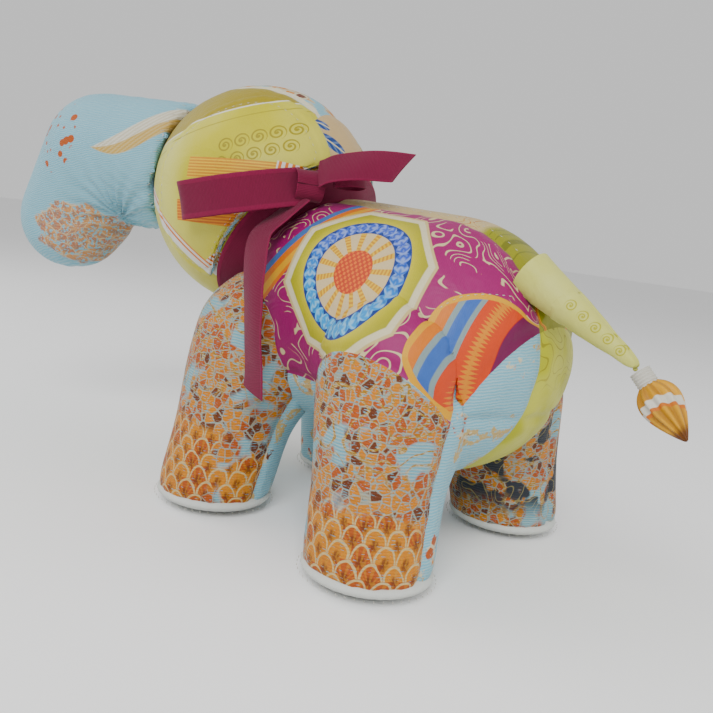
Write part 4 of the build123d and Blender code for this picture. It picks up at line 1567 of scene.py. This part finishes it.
class ELEPHANT_OT_ribbon(bpy.types.Operator):
    """Tie the neck ribbon: band, knot, two loops and two loose ends"""

    bl_idname = "elephant.ribbon"
    bl_label = "Neck ribbon and bow"

    def execute(self, context):
        self.band()
        self.knot()
        self.long_loop()
        self.short_loop()
        self.loose_ends()
        return {"FINISHED"}

    def lay(self, strip, length, width, body, held, *nodes):
        dress(strip, body, "ribbon", *nodes)
        area = STRIP_AREA_SHARE * width * MM * length

    def band(self):
        first = NECK_DIRECTION.cross(Vector((0, 1, 0))).normalized()
        second = NECK_DIRECTION.cross(first)
        path, facing = [], []
        for number in range(33):
            angle = 2 * math.pi * number / 32
            outward = first * math.cos(angle) + second * math.sin(angle)
            spot = HEAD + NECK_DIRECTION * 34.0 + outward * 34.4
            path.append(spot)
            radial = (spot - HEAD).normalized()
            facing.append(NECK_DIRECTION - radial * NECK_DIRECTION.dot(radial))
        strip, length = ribbon_strip("neck_ribbon_tied", path, facing, BAND_WIDTH)
        self.lay(strip, length, BAND_WIDTH, ROOT, "stretched", "neck_ribbon")

    def knot(self):
        outward = (KNOT - HEAD).normalized()
        upward = (Vector((0, 0, 1)) - outward * outward.z).normalized()
        tangent = outward.cross(upward)
        path, facing = [], []
        for number in range(13):
            angle = 2 * math.pi * number / 12
            path.append(KNOT + outward * (4.3 * math.cos(angle)) + upward * (5.4 * math.sin(angle)))
            facing.append(tangent)
        strip, length = ribbon_strip("bow_knot_wrap", path, facing, KNOT_WIDTH, 0.5)
        self.lay(strip, length, KNOT_WIDTH, ROOT, "folded", "bow_knot")

    def long_loop(self):
        knot = (KNOT - HEAD).normalized()
        tip = (from_barrel(64.0, 50.0, 115.5) - HEAD).normalized()
        normal = knot.cross(tip).normalized()
        beside = normal.cross(knot)
        sweep = knot.angle(tip)
        near = HEAD_RADIUS + 7.9

        def polar(radius, share):
            angle = 0.04 + (sweep - 0.04) * share
            return HEAD + (knot * math.cos(angle) + beside * math.sin(angle)) * radius

        path = [polar(near - 1.0, 0.0), polar(near + 0.6, 0.3), polar(near + 0.6, 0.65),
                polar(near + 1.6, 0.94), polar(near + 3.4, 0.99), polar(near + 5.6, 0.9),
                polar(near + 7.0, 0.6), polar(near + 5.4, 0.3), polar(near + 0.4, 0.0)]
        facing = [-normal] * len(path)
        strip, length = ribbon_strip("bow_loop_left_tied", path, facing, LONG_LOOP_WIDTH, 0.25)
        self.lay(strip, length, LONG_LOOP_WIDTH, "bow_loop_left", "folded", "bow_loop_left")

    def short_loop(self):
        start = from_barrel(20.5, 18.0, 133.0)
        along = Vector((-0.15, -0.98, 0.05)).normalized()
        out = Vector((-0.97, 0.15, 0.2))
        out = (out - along * out.dot(along)).normalized()
        up = along.cross(out)
        places = ((-1.5, 0.0), (3.0, 3.6), (8.0, 4.2), (12.2, 2.4), (12.2, -2.4), (8.0, -4.0),
                  (3.0, -3.2), (-1.5, -0.6))
        path = [start + along * a + out * b for a, b in places]
        facing = [up] * len(path)
        strip, length = ribbon_strip("bow_loop_right_tied", path, facing, SHORT_LOOP_WIDTH, 0.3)
        self.lay(strip, length, SHORT_LOOP_WIDTH, ROOT, "folded", "bow_loop_right")

    def loose_ends(self):
        hang = [from_barrel(*p) for p in ((28.6, 27.0, 122.0), (31.0, 35.0, 114.5), (32.6, 43.0, 106.5),
                                          (25.5, 50.6, 93.0), (20.6, 54.0, 80.5), (17.0, 56.2, 70.0),
                                          (13.5, 57.6, 59.5), (11.8, 58.2, 50.0))]
        facing = [Vector((1.0, -0.25, 0.1))] * len(hang)
        strip, length = ribbon_strip("bow_tail_front_tied", hang, facing, END_WIDTH, 0.7, 5.0)
        dress(strip, None, "ribbon", "bow_tail_front", "bow_tail_front_root")
        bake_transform(strip)
        area = END_WIDTH * MM * length * FRONT_END_AREA_SHARE
        back = [from_barrel(*p) for p in ((23.0, 25.5, 131.5), (17.0, 24.6, 134.0), (6.0, 21.5, 136.0),
                                          (-4.0, 18.0, 136.6), (-12.0, 15.5, 136.6))]
        facing = [Vector((0.1, 0.45, -1.0))] * len(back)
        strip, length = ribbon_strip("bow_tail_back_tied", back, facing, END_WIDTH, 0.6, 6.0)
        dress(strip, "bow_tail_back", "ribbon", "bow_tail_back")
        area = END_WIDTH * MM * length * BACK_END_AREA_SHARE


class ELEPHANT_OT_stage(bpy.types.Operator):
    """Lay the pale floor, hang soft lights and set up the camera"""

    bl_idname = "elephant.stage"
    bl_label = "Floor, lights and camera"

    def execute(self, context):
        clear_selection()
        bpy.ops.mesh.primitive_plane_add(size=12.0, location=(0, 0, 0))
        floor = context.object
        floor.name = "floor"
        pale = bpy.data.materials.new("floor_white")
        pale.use_nodes = True
        surface = pale.node_tree.nodes["Principled BSDF"]
        surface.inputs["Base Color"].default_value = (0.86, 0.86, 0.86, 1)
        surface.inputs["Roughness"].default_value = 0.9
        floor.data.materials.append(pale)
        self.light("window", (-0.45, 0.75, 0.75), 0.55, 11.0)
        self.light("fill", (-0.9, -0.35, 0.45), 0.8, 3.0)
        self.light("front", (0.75, 0.35, 0.6), 0.8, 4.0)
        world = context.scene.world or bpy.data.worlds.new("studio")
        context.scene.world = world
        world.use_nodes = True
        world.node_tree.nodes["Background"].inputs[0].default_value = (1.0, 1.0, 1.0, 1)
        world.node_tree.nodes["Background"].inputs[1].default_value = 0.75
        self.camera(context)
        return {"FINISHED"}

    def light(self, name, place, size, power):
        light = bpy.data.lights.new(name, "AREA")
        light.size = size
        light.energy = power
        lamp = bpy.data.objects.new(name, light)
        bpy.context.scene.collection.objects.link(lamp)
        lamp.location = place
        aim = Vector((0.0, 0.0, 0.08)) - Vector(place)
        lamp.rotation_euler = aim.to_track_quat("-Z", "Y").to_euler()

    def camera(self, context):
        azimuth, elevation, roll = (math.radians(a) for a in (217.95, 9.01, 7.56))
        back = Vector((math.sin(azimuth) * math.cos(elevation),
                       -math.cos(azimuth) * math.cos(elevation), math.sin(elevation)))
        target = from_barrel(-87.68, 129.97, 88.89) * MM
        right = (-back).cross(Vector((0, 0, 1))).normalized()
        down = (-back).cross(right).normalized()
        across = right * math.cos(roll) - down * math.sin(roll)
        up = -(right * math.sin(roll) + down * math.cos(roll))
        lens = bpy.data.cameras.new("camera")
        lens.sensor_width = 36.0
        lens.lens = 39.98
        lens.clip_start = 0.01
        camera = bpy.data.objects.new("camera", lens)
        context.scene.collection.objects.link(camera)
        camera.matrix_world = Matrix.Translation(target + back * 0.1523) @ Matrix(
            (across, up, back)
        ).transposed().to_4x4()
        context.scene.camera = camera


STEPS = ("fabrics", "body", "head", "trunk", "legs", "ears", "tail", "ribbon", "stage")


class ELEPHANT_PT_panel(bpy.types.Panel):
    bl_idname = "ELEPHANT_PT_panel"
    bl_label = "Patchwork elephant"
    bl_space_type = "VIEW_3D"
    bl_region_type = "UI"
    bl_category = "Elephant"

    def draw(self, context):
        for group in (context.scene.elephant_sizes, context.scene.elephant_colours):
            for name in group.__annotations__:
                self.layout.prop(group, name)
        for step in STEPS:
            self.layout.operator(f"elephant.{step}")


CLASSES = (
    PlushSizes, PlushColours, ELEPHANT_OT_fabrics, ELEPHANT_OT_body, ELEPHANT_OT_head,
    ELEPHANT_OT_trunk, ELEPHANT_OT_legs, ELEPHANT_OT_ears, ELEPHANT_OT_tail, ELEPHANT_OT_ribbon,
    ELEPHANT_OT_stage, ELEPHANT_PT_panel,
)


def register():
    for kind in CLASSES:
        bpy.utils.register_class(kind)
    bpy.types.Scene.elephant_sizes = bpy.props.PointerProperty(type=PlushSizes)
    bpy.types.Scene.elephant_colours = bpy.props.PointerProperty(type=PlushColours)


def unregister():
    del bpy.types.Scene.elephant_sizes
    del bpy.types.Scene.elephant_colours
    for kind in reversed(CLASSES):
        bpy.utils.unregister_class(kind)


def main():
    register()
    for step in STEPS:
        getattr(bpy.ops.elephant, step)()


if __name__ == "__main__":
    main()
